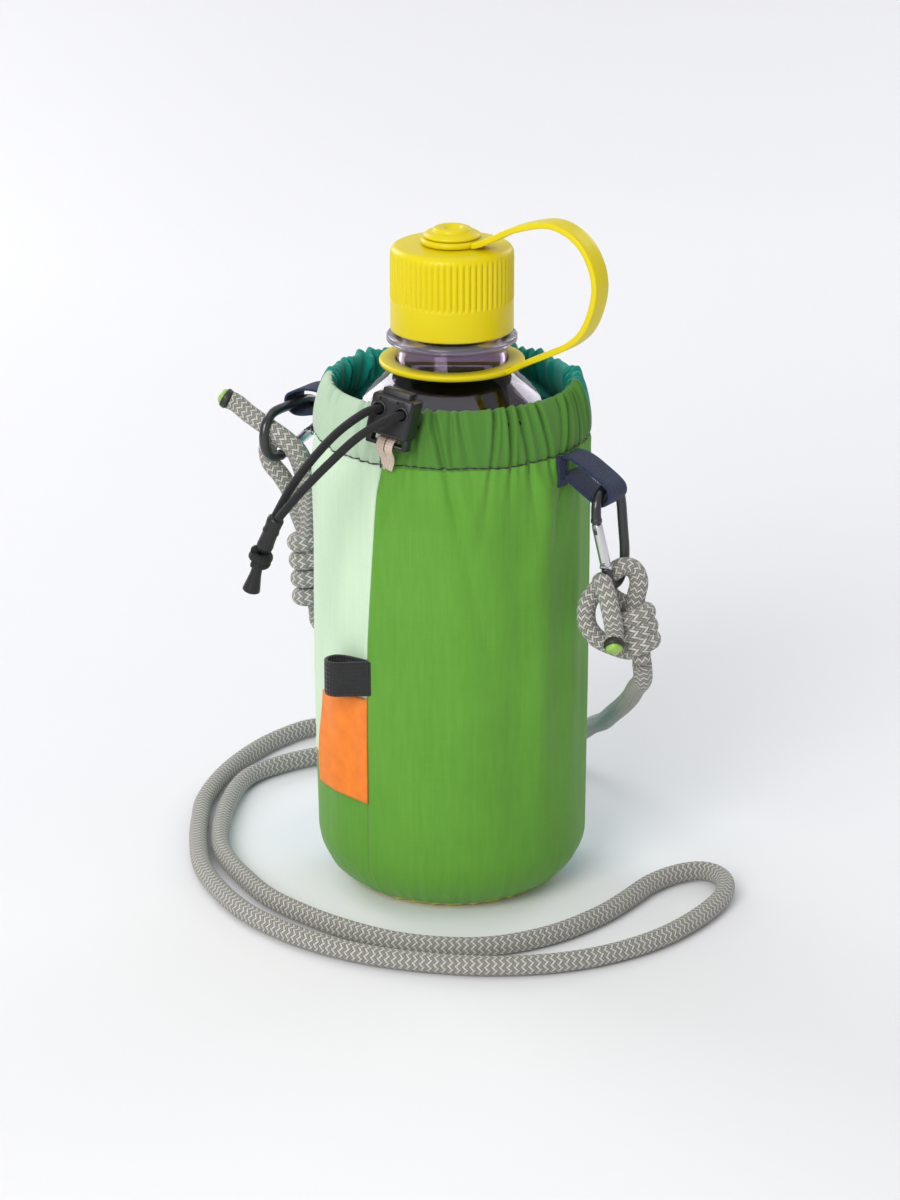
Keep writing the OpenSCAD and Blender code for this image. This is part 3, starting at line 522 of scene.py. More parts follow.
def wall_line(z0, z1, step):
    """The carrier's plain outline between two heights, as (r, z, length along it)."""
    arc = [(FLAT_R + BEND_R * math.sin(a), BEND_R * (1 - math.cos(a)))
           for a in np.linspace(0, math.pi / 2, 60)]
    line = np.array(arc + [(CARRIER_R, z) for z in np.arange(BEND_R + 1, STITCH_Z, 1.0)]
                    + [(CARRIER_R, STITCH_Z)])
    s = np.r_[0, np.cumsum(np.linalg.norm(np.diff(line, axis=0), axis=1))]
    s0, s1 = np.interp(z0, line[:, 1], s), np.interp(z1, line[:, 1], s)
    at = np.linspace(s0, s1, max(3, int(round((s1 - s0) / step)) + 1))
    return np.stack([np.interp(at, s, line[:, 0]), np.interp(at, s, line[:, 1]), at], 1)


def two_layers(name, outer, inner, material, uvs):
    """A closed shell from an outer and an inner grid of points, joined round their edges."""
    rows, cols = outer.shape[:2]
    n = rows * cols
    verts = np.vstack([outer.reshape(-1, 3), inner.reshape(-1, 3)])
    faces = grid_faces(rows, cols, closed=False)
    faces += [tuple(n + i for i in reversed(f)) for f in list(faces)]
    rim = ([(0, k) for k in range(cols)] + [(i, cols - 1) for i in range(1, rows)]
           + [(rows - 1, k) for k in range(cols - 2, -1, -1)] + [(i, 0) for i in range(rows - 2, 0, -1)])
    idx = [i * cols + k for i, k in rim]
    for a, b in zip(idx, idx[1:] + idx[:1]):
        faces.append((a, b, n + b, n + a))
    o = mesh_object(name, verts, faces, material, np.vstack([uvs, uvs]))
    weld(o, 0)
    return o


def edge_lip(distance, tuck, lift):
    """The cloth's change of radius near a seam: lifted beside it and tucked in at it."""
    return lift * np.exp(-((distance - 1.6) / 1.2) ** 2) - tuck * np.exp(-(distance / 0.55) ** 2)


def panel(cad, material, slot, line, ang0, ang1, over0, over1, low_lip=0.0):
    """One panel along a plain outline, between two seams given as functions of height (radians).
    over0 and over1 are 1 where this panel laps over its neighbour, and 0 where it lies under it."""
    r, z, s = line[:, 0], line[:, 1], line[:, 2]
    cols = int(abs(ang1(90.0) - ang0(90.0)) * CARRIER_R / 0.55) + 1
    f = np.linspace(0, 1, cols)[None, :]
    a0, a1 = ang0(z)[:, None], ang1(z)[:, None]
    theta = a0 + (a1 - a0) * f
    zz = np.repeat(z[:, None], cols, 1)
    d0, d1 = (theta - a0) * CARRIER_R, (a1 - theta) * CARRIER_R
    lift = cloth_relief(theta, zz)
    lift += edge_lip(d0, 0.5 - 0.3 * over0, 0.34 * over0) + edge_lip(d1, 0.5 - 0.3 * over1, 0.34 * over1)
    if low_lip:
        lift += edge_lip((s - s[0])[:, None], 0.3, low_lip)
    dr, dz = np.gradient(r), np.gradient(z)
    length = np.hypot(dr, dz)
    nr, nz = (dz / length)[:, None], (-dr / length)[:, None]
    flat_part = np.clip(zz / 5.0, 0, 1)
    ro, zo = r[:, None] + nr * lift, zz + nz * lift * flat_part
    outer = np.stack([ro * np.cos(theta), ro * np.sin(theta), np.maximum(zo, 0.02)], -1)
    ri, zi = r[:, None] - nr * CLOTH_T, zz - nz * CLOTH_T
    inner = np.stack([ri * np.cos(theta), ri * np.sin(theta), np.maximum(zi, 0.3)], -1)
    uvs = np.stack([theta * CARRIER_R, np.broadcast_to(s[:, None], theta.shape)], -1).reshape(-1, 2)
    fit(two_layers(f"{cad}_cloth", outer, inner, material, uvs), "carrier", slot, cad)


def fixed(angle):
    return lambda z: np.full(np.shape(z), math.radians(angle)) if np.ndim(z) else math.radians(angle)


FOOT_SEAM_Z, SIDE_SEAM_Z = 1.17, 46.0
RIGHT_SEAM, LEFT_SEAM = 28, 205
right_seam, left_seam, left_seam_before = fixed(RIGHT_SEAM), fixed(LEFT_SEAM), fixed(LEFT_SEAM - 360)
whole, upper = wall_line(FOOT_SEAM_Z, STITCH_Z, 0.7), wall_line(SIDE_SEAM_Z, STITCH_Z, 0.7)
lower = wall_line(FOOT_SEAM_Z, SIDE_SEAM_Z, 0.7)
panel("front_panel", green_mat, "green_cloth", whole, seam_angle, right_seam, 1, 1)
panel("back_panel", teal_mat, "teal_cloth", whole, right_seam, left_seam, 0, 0)
panel("side_panel_upper", mint_mat, "mint_cloth", upper, left_seam_before, seam_angle, 1, 0, low_lip=0.3)
panel("side_panel_lower", green_mat, "green_cloth", lower, left_seam_before, seam_angle, 1, 0)

foot_arc = [(FLAT_R + BEND_R * math.sin(a), BEND_R * (1 - math.cos(a)))
            for a in np.radians(np.linspace(0, 20.5, 8))]
foot_lip = [(33.2, 1.0), (33.0, 1.9), (32.0, 1.9)]
base = lathe("base_panel_cloth", [(0, 0)] + foot_arc + foot_lip + [(25.8, 0.6), (0, 0.6)], yellow_mat, 288,
             lambda a, z, r: (r > 28) * (0.35 * np.sin(31 * a + 0.4) + 0.25 * np.sin(47 * a)))
fit(base, "carrier", "yellow_cloth", "base_panel")

# ---------------------------------------------------------------- carrier: gathered hem and its stitching
# The top of each panel is folded in over the drawcord and gathered; the mint one is lined in teal.
# A row of black stitches holds the fold.

HEM_LINE = [
    (CARRIER_R, STITCH_Z), (45.5, 161), (45.2, 164.6), (44.5, 168), (43.6, 171.2), (42.4, 174),
    (41.2, 175.7), (40.3, 176.1), (39.5, 175.5), (38.9, 173.6), (38.9, 170.6), (39.6, 167),
    (41.2, 163.4), (43.4, 159.6), (CARRIER_R - CLOTH_T, STITCH_Z)]
hem_curve, _ = curve_through([(r, 0, z) for r, z in HEM_LINE], 0.45)
hem_rz = hem_curve[:, [0, 2]]


def hem(cad, material, slot, a0, a1, facing=None):
    """A panel's gathered hem between two angles (radians), closed; facing covers its inner side."""
    top_of = hem_rz[:, 1].argmax()
    r, z = hem_rz[:, 0], hem_rz[:, 1]
    outside = np.arange(len(r)) <= top_of
    cols = int(abs(a1 - a0) * CARRIER_R / 0.4) + 1
    theta = np.linspace(a0, a1, cols)[None, :]
    lift = cloth_relief(theta, np.repeat(z[:, None], cols, 1))
    seen = cloth_relief(theta, np.full((1, cols), STITCH_Z + HEM_H))
    share = np.clip((z - STITCH_Z) / HEM_H, 0, 1)[:, None] ** 1.5
    start = np.clip((z - STITCH_Z) / 2.0, 0, 1)[:, None]
    move = np.where(outside[:, None], lift, (0.15 + 0.85 * share) * start * (lift - 0.4))
    rr = r[:, None] + move
    zz = z[:, None] + 0.75 * share * (seen - 0.5)
    verts = np.stack([rr * np.cos(theta), rr * np.sin(theta), zz], -1)
    rows = len(r)
    uvs = np.stack([np.broadcast_to(theta * CARRIER_R, rr.shape),
                    np.broadcast_to(np.arange(rows)[:, None] * 0.45, rr.shape)], -1).reshape(-1, 2)
    faces = grid_faces(rows, cols, closed=False)
    faces += [((rows - 1) * cols + k, k, k + 1, (rows - 1) * cols + k + 1) for k in range(cols - 1)]
    faces += [tuple(i * cols for i in range(rows)),
              tuple(i * cols + cols - 1 for i in reversed(range(rows)))]
    o = mesh_object(f"{cad}_gathers", verts.reshape(-1, 3), faces, material, uvs)
    if facing:
        o.data.materials.append(facing)
        for i, f in enumerate(o.data.polygons):
            if i // (cols - 1) > top_of + 1:
                f.material_index = 1
    fit(o, "carrier", slot, cad)


top_seam = float(seam_angle(165.0))
hem("hem_front", green_mat, "green_cloth", top_seam, math.radians(RIGHT_SEAM))
hem("hem_side", mint_mat, "mint_cloth", math.radians(LEFT_SEAM - 360), top_seam, teal_mat)
hem("hem_back", teal_mat, "teal_cloth", math.radians(RIGHT_SEAM), math.radians(LEFT_SEAM))

thread_mat = grained("black_thread", (0.012, 0.012, 0.012), 0.7, 3000, 2, 0.6, 0.05, **{SHEEN: 0.3})
THREAD_R, THREAD_SIDES, STITCH_ROWS = 0.25, 8, 7


def stitches(name, line, gap):
    """A row of stitches along a line of points (mm): each dips into the cloth at its ends."""
    path, length = curve_through(line, 0.25)
    n = int(length / gap)
    verts, faces = [], []
    t = np.gradient(path, axis=0)
    t /= np.linalg.norm(t, axis=1)[:, None]
    s = np.linspace(0, length, len(path))
    for i in range(n):
        lo, hi = (i + 0.01) * gap, (i + 0.99) * gap
        for j, q in enumerate(np.linspace(lo, hi, STITCH_ROWS)):
            c = np.array([np.interp(q, s, path[:, k]) for k in range(3)])
            d = np.array([np.interp(q, s, t[:, k]) for k in range(3)])
            d /= np.linalg.norm(d)
            out = c * (1, 1, 0)
            out = out / np.linalg.norm(out)
            out = out - out.dot(d) * d
            out /= np.linalg.norm(out)
            up = np.cross(d, out)
            w = math.sin(math.pi * (j + 0.5) / STITCH_ROWS) ** 0.4
            for k in range(THREAD_SIDES):
                a = 2 * math.pi * k / THREAD_SIDES
                verts.append(c + out * (THREAD_R * w * math.cos(a) + 0.28 * w - 0.16)
                             + up * THREAD_R * w * math.sin(a))
        b = len(verts) - STITCH_ROWS * THREAD_SIDES
        faces += [tuple(b + x for x in f) for f in grid_faces(STITCH_ROWS, THREAD_SIDES)]
        faces += [tuple(b + k for k in range(THREAD_SIDES)),
                  tuple(len(verts) - 1 - k for k in range(THREAD_SIDES))]
    o = mesh_object(name, verts, faces, thread_mat)
    weld(o, 0)
    fit(o, "carrier", "black_thread", "hem_stitching")


def on_cloth(a, z, gap):
    """A point a small gap off the cloth at an angle and height."""
    r = CARRIER_R + float(cloth_relief(np.array([a]), np.array([z]))[0]) + gap
    return (r * math.cos(a), r * math.sin(a), z)


stitches("hem_stitches", [
    on_cloth(a, STITCH_Z + 0.5 + 0.35 * math.sin(5 * a + 1) + 0.2 * math.sin(13 * a), 0.05)
    for a in np.linspace(0, 2 * np.pi, 361)], 3.0)
stitches("seam_tack", [
    on_cloth(float(seam_angle(z)) - 0.006 + 0.004 * math.sin(z * 1.7), z, 0.1)
    for z in np.linspace(156.5, 166.5, 21)], 1.6)

# ---------------------------------------------------------------- bottle: clear smoky copolyester
# Blow-moulded wall with a sloping shoulder, a thin flange below the closure and a ground rim.
# The screw thread of the closure is raised on the neck finish.

BOTTLE_OUT = [
    (0, 4.3), (6, 4.1), (12, 3.1), (16, 1.8), (18, 1.3), (24, 1.35), (30, 2.2), (35.5, 4.6), (39.8, 8.6),
    (42.6, 13.4), (43.8, 18.4), (44, 22), (44, 30), (44, 60), (44, 100), (44, 140), (44, 149.7),
    (43.4, 153.9), (41.6, 158.1), (38.5, 162.6), (34.5, 166.8), (29.9, 170.7), (25.3, 174.3),
    (21.6, 177.2), (19.2, 179.0), (18.3, 180.2), (18.2, 182), (18.2, 187.4), (18.6, 188.2),
    (20.8, 188.5), (21.5, 188.9), (21.5, 190.3), (21.1, 190.85), (18.2, 191.0), (17.5, 191.6),
    (17.5, 204), (17.5, 215.4), (17.2, 216.1), (16.6, 216.3), (15.9, 216.2), (15.5, 215.6)]
BOTTLE_IN = [
    (15.5, 204), (15.6, 190), (16.2, 183), (17.2, 179.6), (20.2, 176.0), (24.3, 172.6), (28.9, 169.0),
    (33.3, 165.3), (36.9, 161.2), (39.9, 157.1), (41.5, 153.2), (42, 149.4), (42, 140), (42, 60),
    (42, 22), (41.6, 17.4), (40.2, 13.6), (37.6, 9.8), (34, 6.4), (29.4, 4.3), (23, 3.4), (18, 3.4),
    (12, 5.1), (6, 6.1), (0, 6.3)]
smoke_mat, nt, p = new_material("smoke_plastic", (0.30, 0.235, 0.36), 0.045, **{
    "Transmission Weight": 1.0, IOR: 1.56})
haze = noise(nt, coords(nt), 60, 3)
nt.links.new(blend_colours(nt, haze, (0.36, 0.28, 0.43), (0.44, 0.36, 0.50)), p.inputs["Base Color"])
bump(nt, p, noise(nt, coords(nt), 14, 2), 0.08, 0.6 * MM)
rim_mat = grained("frosted_rim", (0.62, 0.58, 0.68), 0.22, 300, 3, 0.15, 0.1, **{
    "Transmission Weight": 0.85, IOR: 1.5})


def spiral(name, r, z0, pitch, turns, width, height, material):
    """A round-topped thread ridge wound on a cylinder, fading in and out at its ends."""
    n = int(turns * 90)
    shape = [(-0.35, -0.5), (0.25, -0.42), (0.8, -0.24), (1.0, 0), (0.8, 0.24), (0.25, 0.42), (-0.35, 0.5)]
    verts = []
    for i in range(n + 1):
        a = 2 * math.pi * turns * i / n
        fade = min(1.0, 8.0 * i / n, 8.0 * (n - i) / n)
        for h, w in shape:
            rr = r + height * (h if h < 0 else h * fade)
            verts.append((rr * math.cos(a), rr * math.sin(a), z0 + pitch * a / (2 * math.pi) + w * width))
    m = len(shape)
    faces = grid_faces(n + 1, m) + [tuple(range(m)), tuple(n * m + k for k in reversed(range(m)))]
    return mesh_object(name, verts, faces, material)


bottle = lathe("bottle_shell_wall", BOTTLE_OUT + BOTTLE_IN, smoke_mat, 160)
bottle.data.materials.append(rim_mat)
for f in bottle.data.polygons:
    if 188.2 * MM < f.center.z < 191.0 * MM and math.hypot(f.center.x, f.center.y) > 18 * MM:
        f.material_index = 1
thread = spiral("bottle_thread", 17.45, 199.3, 4.23, 1.5, 1.8, 1.0, smoke_mat)
for o in (bottle, thread):
    fit(o, "bottle", "smoke_plastic", "bottle_shell")

# ---------------------------------------------------------------- cap, button and liner: yellow polypropylene
# Sixty rounded ribs fade out at the top shoulder above a plain band.
# A domed button with a stepped ring and a dimple holds the tether's disc on top.

yellow_plastic, nt, p = new_material("yellow_plastic", (0.74, 0.60, 0.0), 0.36, **{SPEC: 0.3})
cloud = noise(nt, coords(nt), 45, 3)
nt.links.new(blend_colours(nt, cloud, (0.69, 0.565, 0.0), (0.75, 0.615, 0.001)), p.inputs["Base Color"])
grain = noise(nt, coords(nt), 900, 3)
rough = node(nt, "ShaderNodeMapRange", "Value", cloud)
rough.inputs[3].default_value, rough.inputs[4].default_value = 0.30, 0.42
nt.links.new(rough.outputs[0], p.inputs["Roughness"])
bump(nt, p, grain, 0.10, 0.10 * MM)

RIBS, CAP_R = 60, 20.2


def cap_ribs(a, z, r):
    fade = np.clip((z - 202.7) / 0.5, 0, 1) * np.clip((219.2 - z) / 2.4, 0, 1)
    wave = np.abs(np.cos(a * RIBS / 2)) ** 0.8
    return np.where(r > 17.5, (-0.62 + 0.72 * wave) * fade, 0)


cap_out = [(18.9, 192.3), (19.9, 192.3), (20.15, 192.5), (20.25, 192.8)]
cap_out += [(20.25, z) for z in np.arange(193.5, 201.6, 1.0)] + [(20.3, 202.0), (20.2, 202.5)]
cap_out += [(CAP_R, z) for z in np.arange(202.8, 217.9, 0.5)]
cap_out += [(CAP_R - 2.6 + 2.6 * math.cos(a), 218.0 + 2.6 * math.sin(a))
            for a in np.linspace(0.08, math.pi / 2, 9)]
cap_out += [(12, 220.6), (6, 220.6), (0, 220.6), (0, 218.1), (17, 218.1), (18.9, 217.6), (18.9, 205)]
cap = lathe("cap_moulding", cap_out + [cap_out[0]], yellow_plastic, 720, cap_ribs)
button = lathe("cap_button_dome", [
    (0, 220.4), (5, 220.4), (5, 223.2), (9.0, 223.2), (9.35, 223.45), (9.4, 223.8), (9.2, 224.2), (8.2, 224.75),
    (7.0, 225.1), (6.55, 225.15), (6.3, 225.35), (6.25, 225.8), (6.0, 226.1), (5.4, 226.35), (4.4, 226.4),
    (3.6, 226.3), (3.2, 225.95), (2.9, 225.3), (2.3, 224.95), (1.2, 224.8), (0, 224.8)], yellow_plastic, 96)
liner_mat = grained("white_liner", (0.78, 0.78, 0.76), 0.6, 500, 3, 0.3, 0.1)
liner = lathe("cap_liner_disc", [
    (0, 216.62), (14.6, 216.62), (15, 216.75), (16.2, 216.62), (17.8, 216.62), (18.3, 217.0), (18.3, 218.05),
    (0, 218.05)], liner_mat, 96)
fit(cap, "cap", "yellow_plastic", "cap_shell")
fit(button, "cap", "yellow_plastic", "cap_button")
fit(liner, "cap", "white_liner", "cap_liner")

# ---------------------------------------------------------------- tether: ring, strap and disc
# A flat ring round the neck carries a strap that swings out and over to a disc snapped on the button.
# The strap bends as the cap is unscrewed.

TETHER_W, TETHER_T = 8.0, 2.0
ring = lathe("tether_ring_moulding", [
    (18.4, 180.9), (18.8, 180.5), (23.2, 180.5), (23.8, 180.75), (24.0, 181.2), (24.0, 181.8), (23.75, 182.3),
    (23.2, 182.5), (18.8, 182.5), (18.4, 182.1), (18.4, 180.9)], yellow_plastic, 160)
disc = lathe("tether_disc_moulding", [
    (5.05, 221.2), (5.4, 220.9), (9.7, 220.9), (10.2, 221.3), (10.3, 221.9), (10.2, 222.5), (9.7, 222.9),
    (5.4, 222.9), (5.05, 222.6), (5.05, 221.2)], yellow_plastic, 96)
STRAP = [
    (22.4, 181.5), (25.2, 182.7), (29.2, 185.1), (38.4, 189.7), (46.1, 193.9), (51.4, 198.9), (54.7, 206),
    (56.1, 213.5), (54.9, 220.3), (51, 226.9), (44.9, 231.1), (37.3, 232.4), (25.8, 229.3), (17, 224.9), (12.2, 222.6),
    (9.6, 221.9)]


def ribbon(name, line, width, thick, material, across, step=0.8, corner=0.4):
    """A flat strap with rounded edges along a line; across is its width's direction."""
    path, length = curve_through(line, step)
    t = np.gradient(path, axis=0)
    t /= np.linalg.norm(t, axis=1)[:, None]
    w, c = width / 2, min(corner, thick / 2 - 0.01)
    shape = []
    for sx, sy, a0 in ((1, 1, 0), (-1, 1, 90), (-1, -1, 180), (1, -1, 270)):
        for a in np.radians([a0, a0 + 30, a0 + 60, a0 + 90]):
            shape.append((sx, sy, c * math.cos(a), c * math.sin(a)))
        if sy == 1 and sx == 1:
            shape += [(k, 1, 0, c) for k in (0.5, 0, -0.5)]
        if sy == -1 and sx == -1:
            shape += [(k, -1, 0, -c) for k in (-0.5, 0, 0.5)]
    verts, uvs = [], []
    s = np.linspace(0, length, len(path))
    for i, q in enumerate(path):
        a = np.array(across, float)
        a = a - a.dot(t[i]) * t[i]
        a /= np.linalg.norm(a)
        n = np.cross(t[i], a)
        for sx, sy, dx, dy in shape:
            x, y = sx * (w - c) + dx, sy * (thick / 2 - c) + dy
            verts.append(q + a * x + n * y)
            uvs.append((x, s[i]))
    m = len(shape)
    faces = grid_faces(len(path), m)
    faces += [tuple(range(m)), tuple((len(path) - 1) * m + k for k in reversed(range(m)))]
    return mesh_object(name, verts, faces, material, uvs)


strap = ribbon("tether_strap_moulding", [(x, 0, z) for x, z in STRAP], TETHER_W, TETHER_T, yellow_plastic,
               (0, 1, 0))
fit(ring, "bottle", "yellow_plastic", "tether_ring")
fit(disc, "tether_head", "yellow_plastic", "tether_disc")
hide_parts("tether_strap")
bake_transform(strap)

# ---------------------------------------------------------------- cord lock
# A black spring toggle: a grained body with two cord holes and a lower bar, and a plunger in its top.
# Its windows and eyes are moulded in, and the plunger rests on a small coil spring.

LOCK = (Matrix.Rotation(math.radians(-79), 4, "Z") @ Matrix.Translation((50 * MM, 0, 174.5 * MM))
        @ Matrix.Rotation(math.radians(-10), 4, "Y") @ Matrix.Rotation(math.radians(-10), 4, "X"))
lock_mat = grained("lock_plastic", (0.012, 0.012, 0.014), 0.36, 1500, 3, 0.35, 0.06, **{SPEC: 0.45})
steel_mat = grained("spring_steel", (0.62, 0.62, 0.64), 0.3, 900, 2, 0.1, 0.05, **{"Metallic": 1.0})


def box(name, lo, hi, material, bevel=0.0):
    lo, hi = np.array(lo, float), np.array(hi, float)
    verts = [[(lo, hi)[(i >> k) & 1][k] for k in range(3)] for i in range(8)]
    faces = [(0, 2, 3, 1), (4, 5, 7, 6), (0, 1, 5, 4), (2, 6, 7, 3), (0, 4, 6, 2), (1, 3, 7, 5)]
    o = mesh_object(name, verts, faces, material, smooth=False)
    if bevel:
        bm = bmesh.new()
        bm.from_mesh(o.data)
        bmesh.ops.bevel(bm, geom=list(bm.edges), offset=bevel * MM, segments=3, profile=0.5,
                        affect="EDGES", clamp_overlap=True)
        bm.to_mesh(o.data)
        bm.free()
    return o


def cut(o, cutters):
    """Takes the cutters away from an object and removes them from the scene."""
    for cutter in cutters:
        mod = o.modifiers.new("cut", "BOOLEAN")
        mod.operation, mod.object, mod.solver = "DIFFERENCE", cutter, "EXACT"
    dg = bpy.context.evaluated_depsgraph_get()
    mesh = bpy.data.meshes.new_from_object(o.evaluated_get(dg))
    o.modifiers.clear()
    old = o.data
    o.data = mesh
    bpy.data.meshes.remove(old)
    for cutter in cutters:
        bpy.data.objects.remove(cutter)


def bore(name, y):
    """A cutter for one cord hole, along the lock's own X."""
    o = lathe(name, round_profile(HOLE_R, 0, 16, 0.01), lock_mat, 40)
    return place(o, (-8, y, HOLE_Z), (16, 0, 0))


def smooth_by_angle(o, degrees=35):
    for f in o.data.polygons:
        f.use_smooth = True
    o.data.set_sharp_from_angle(angle=math.radians(degrees))


HOLE_R, HOLE_Y, HOLE_Z = 1.75, 3.9, 3.5
lock = box("lock_block", (-4.5, -7.2, -4.6), (4.5, 7.2, 8.4), lock_mat, 1.0)
cut(lock, [box("c0", (-2.6, -5.2, -3.8), (2.6, 5.2, 12), lock_mat), bore("c1", -HOLE_Y), bore("c2", HOLE_Y),
           box("c3", (3.9, -4.4, 6.3), (5.5, -1.6, 7.5), lock_mat),
           box("c4", (3.9, 1.6, 6.3), (5.5, 4.4, 7.5), lock_mat),
           box("c5", (4.15, -5.2, -3.6), (5.5, 5.2, 0.2), lock_mat)])
legs = [box("leg_a", (-2, -7.2, -8.4), (2, -5.2, -4.1), lock_mat, 0.5),
        box("leg_b", (-2, 5.2, -8.4), (2, 7.2, -4.1), lock_mat, 0.5),
        box("lock_bar", (-2, -7.2, -8.4), (2, 7.2, -6.9), lock_mat, 0.6)]
for y in (-HOLE_Y, HOLE_Y):
    rim = lathe(f"eye_{'a' if y < 0 else 'b'}", [
        (1.77, -0.3), (2.5, -0.3), (2.65, 0.1), (2.4, 0.4), (2.05, 0.45), (1.77, 0.2), (1.77, -0.3)],
        lock_mat, 48)
    place(rim, (4.5, y, HOLE_Z), (1, 0, 0))
    legs.append(rim)
for o in [lock] + legs:
    smooth_by_angle(o)
    o.data.transform(LOCK)
    fit(o, "carrier", "lock_plastic", "cord_lock_body")
plunger = box("lock_plunger_block", (-2.3, -4.9, -1.5), (2.3, 4.9, 10.4), lock_mat, 0.5)
cut(plunger, [box("d0", (-4, -5.6, 1.85), (4, 0, 7.15), lock_mat),
              box("d1", (-4, 2.2, 1.85), (4, 5.6, 7.15), lock_mat)])
smooth_by_angle(plunger)
plunger.data.transform(LOCK)
fit(plunger, "lock_plunger", "lock_plastic", "cord_lock_plunger")
COIL_TURNS, COIL_R, COIL_FOOT, COIL_H = 4, 1.35, -3.6, 1.9
coil = [(COIL_R * math.cos(a), COIL_R * math.sin(a), COIL_FOOT + COIL_H * a / (2 * math.pi * COIL_TURNS))
        for a in np.linspace(0, 2 * math.pi * COIL_TURNS, 97)]
spring, _, _ = tube("lock_spring_coil", coil, 0.22, 8, 0.3, steel_mat)
spring.data.transform(LOCK)
fit(spring, "carrier", "spring_steel", "cord_lock_spring")

# ---------------------------------------------------------------- label, webbing loop, ribbon loops and tape
# Flat woven trims folded over and sewn into the seams or on the hem's stitch line.
# The label hangs free at its outer edge, the ribbons hold the carabiners, and tape holds the lock's bar.


def trim_material(name, base, rib_u, rib_v, depth, rough=0.7, sheen=0.2, twill=0.0):
    """A woven trim: ribs across and along its width, and a diagonal twill if given."""
    m, nt, p = new_material(name, base, rough, **{SHEEN: sheen, SPEC: 0.35})
    part = node(nt, "ShaderNodeSeparateXYZ", "Vector", coords(nt, "UV"))
    u, v = part.outputs[0], part.outputs[1]
    a = calc(nt, "SINE", mul(nt, calc(nt, "MULTIPLY_ADD", v, twill, u), 2 * math.pi / rib_u))
    b = calc(nt, "SINE", mul(nt, v, 2 * math.pi / rib_v))
    height = add(nt, a, mul(nt, b, 0.6))
    cloud = noise(nt, coords(nt), 220, 3)
    # The colour follows the rib height, lighter on the rib tops and darker in the grooves: painted shade of the weave,
    # mixed with random tone from the cloud noise.
    shade = calc(nt, "MULTIPLY_ADD", height, 0.16, cloud)
    dark, light = tuple(c * 0.72 for c in base), tuple(min(1, c * 1.25) for c in base)
    nt.links.new(blend_colours(nt, shade, dark, light), p.inputs["Base Color"])
    bump(nt, p, add(nt, height, cloud), depth, 0.12 * MM)
    return m


orange_mat = trim_material("orange_label", (0.95, 0.21, 0.010), 0.36, 0.36, 0.18, 0.55, 0.1)
webbing_mat = trim_material("black_webbing", (0.016, 0.016, 0.018), 1.5, 1.1, 0.9)
navy_mat = trim_material("navy_ribbon", (0.014, 0.024, 0.066), 0.9, 0.7, 0.6, 0.65, 0.05, twill=1.0)
tape_mat = trim_material("tan_tape", (0.62, 0.50, 0.40), 0.9, 0.8, 0.6)


def folded(name, line, width, thick, material, across, cad, slot):
    """A strip of trim fixed to the carrier, bent along a line of points (mm)."""
    o = ribbon(name, line, width, thick, material, across, step=0.5, corner=thick * 0.4)
    fit(o, "carrier", slot, cad)


Y, Z = (0, 1, 0), (0, 0, 1)


def at(azimuth, r, z):
    a = math.radians(azimuth)
    return (r * math.cos(a), r * math.sin(a), z)


label_rows, label_cols = 46, 52
lv, lu = np.meshgrid(np.linspace(0, 1, label_rows), np.linspace(0, 1, label_cols), indexing="ij")
label_top = 76.4 - 3.4 * lu
lz = label_top + (39.0 + 1.2 * lu - label_top) * lv
seam_here = np.degrees(seam_angle(lz))
laz = seam_here + 0.5 - (29.5 + 1.2 * np.sin(2.5 * lv)) * lu
lift = 0.55 + 0.9 * lu ** 2 + 1.3 * lu ** 3 * (0.4 + 0.6 * lv) + 0.35 * np.sin(6 * lv + 4 * lu) * lu
layers = []
for off in (0.35, -0.35):
    lr = CARRIER_R + lift + off + cloth_relief(np.radians(laz), lz) * 0.7
    layers.append(np.stack([lr * np.cos(np.radians(laz)), lr * np.sin(np.radians(laz)), lz], -1))
label = two_layers("label_cloth", layers[0], layers[1], orange_mat,
                   np.stack([lu * 24, lv * 36], -1).reshape(-1, 2))
fit(label, "carrier", "orange_label", "label")

WEB_Z = 84.0
WEB = [(-0.4, -45.0), (-1.2, -46.5), (-4.2, -48.8), (-8.0, -51.6), (-11.2, -53.8), (-14.3, -53.4), (-15.9, -50.8),
       (-15.0, -47.6), (-12.0, -46.2), (-8.4, -46.0), (-4.0, -46.1), (-1.0, -45.7)]
folded("webbing_loop_band", [(x, y, WEB_Z) for x, y in WEB], 12, 1.2, webbing_mat, Z, "webbing_loop",
       "black_webbing")
folded("right_loop_ribbon", [
    (45.6, 0, 157.0), (49, 0, 156.8), (53, 0, 155.3), (57, 0, 153), (60.6, 0, 150.8), (63.2, 0, 148.6),
    (63.7, 0, 146), (62, 0, 143.6), (59.4, 0, 143.1), (56, 0, 144.8), (51, 0, 147.8), (47.6, 0, 149.9), (45.7, 0, 150.8)],
    11, 1.0, navy_mat, Y, "right_loop", "navy_ribbon")
folded("right_loop_tail", [(45.2, -5, 157.4), (46.0, -5.2, 154), (46.5, -5.4, 150.6), (46.3, -5.5, 147.6)],
       5.5, 0.9, navy_mat, Y, "right_loop", "navy_ribbon")
folded("left_loop_ribbon", [
    (-45.5, -3, 164.4), (-49.5, -3, 165.0), (-54, -3, 164.7), (-58, -3, 163.3), (-61, -3, 161.4),
    (-61.4, -3, 158.6), (-59.2, -3, 156.1), (-56, -3, 155.6), (-51, -3, 156.6), (-45.6, -3, 158)],
    11, 1.0, navy_mat, Y, "left_loop", "navy_ribbon")


def lock_point(x, y, z):
    return tuple(LOCK @ Vector((x * MM, y * MM, z * MM)) / MM)


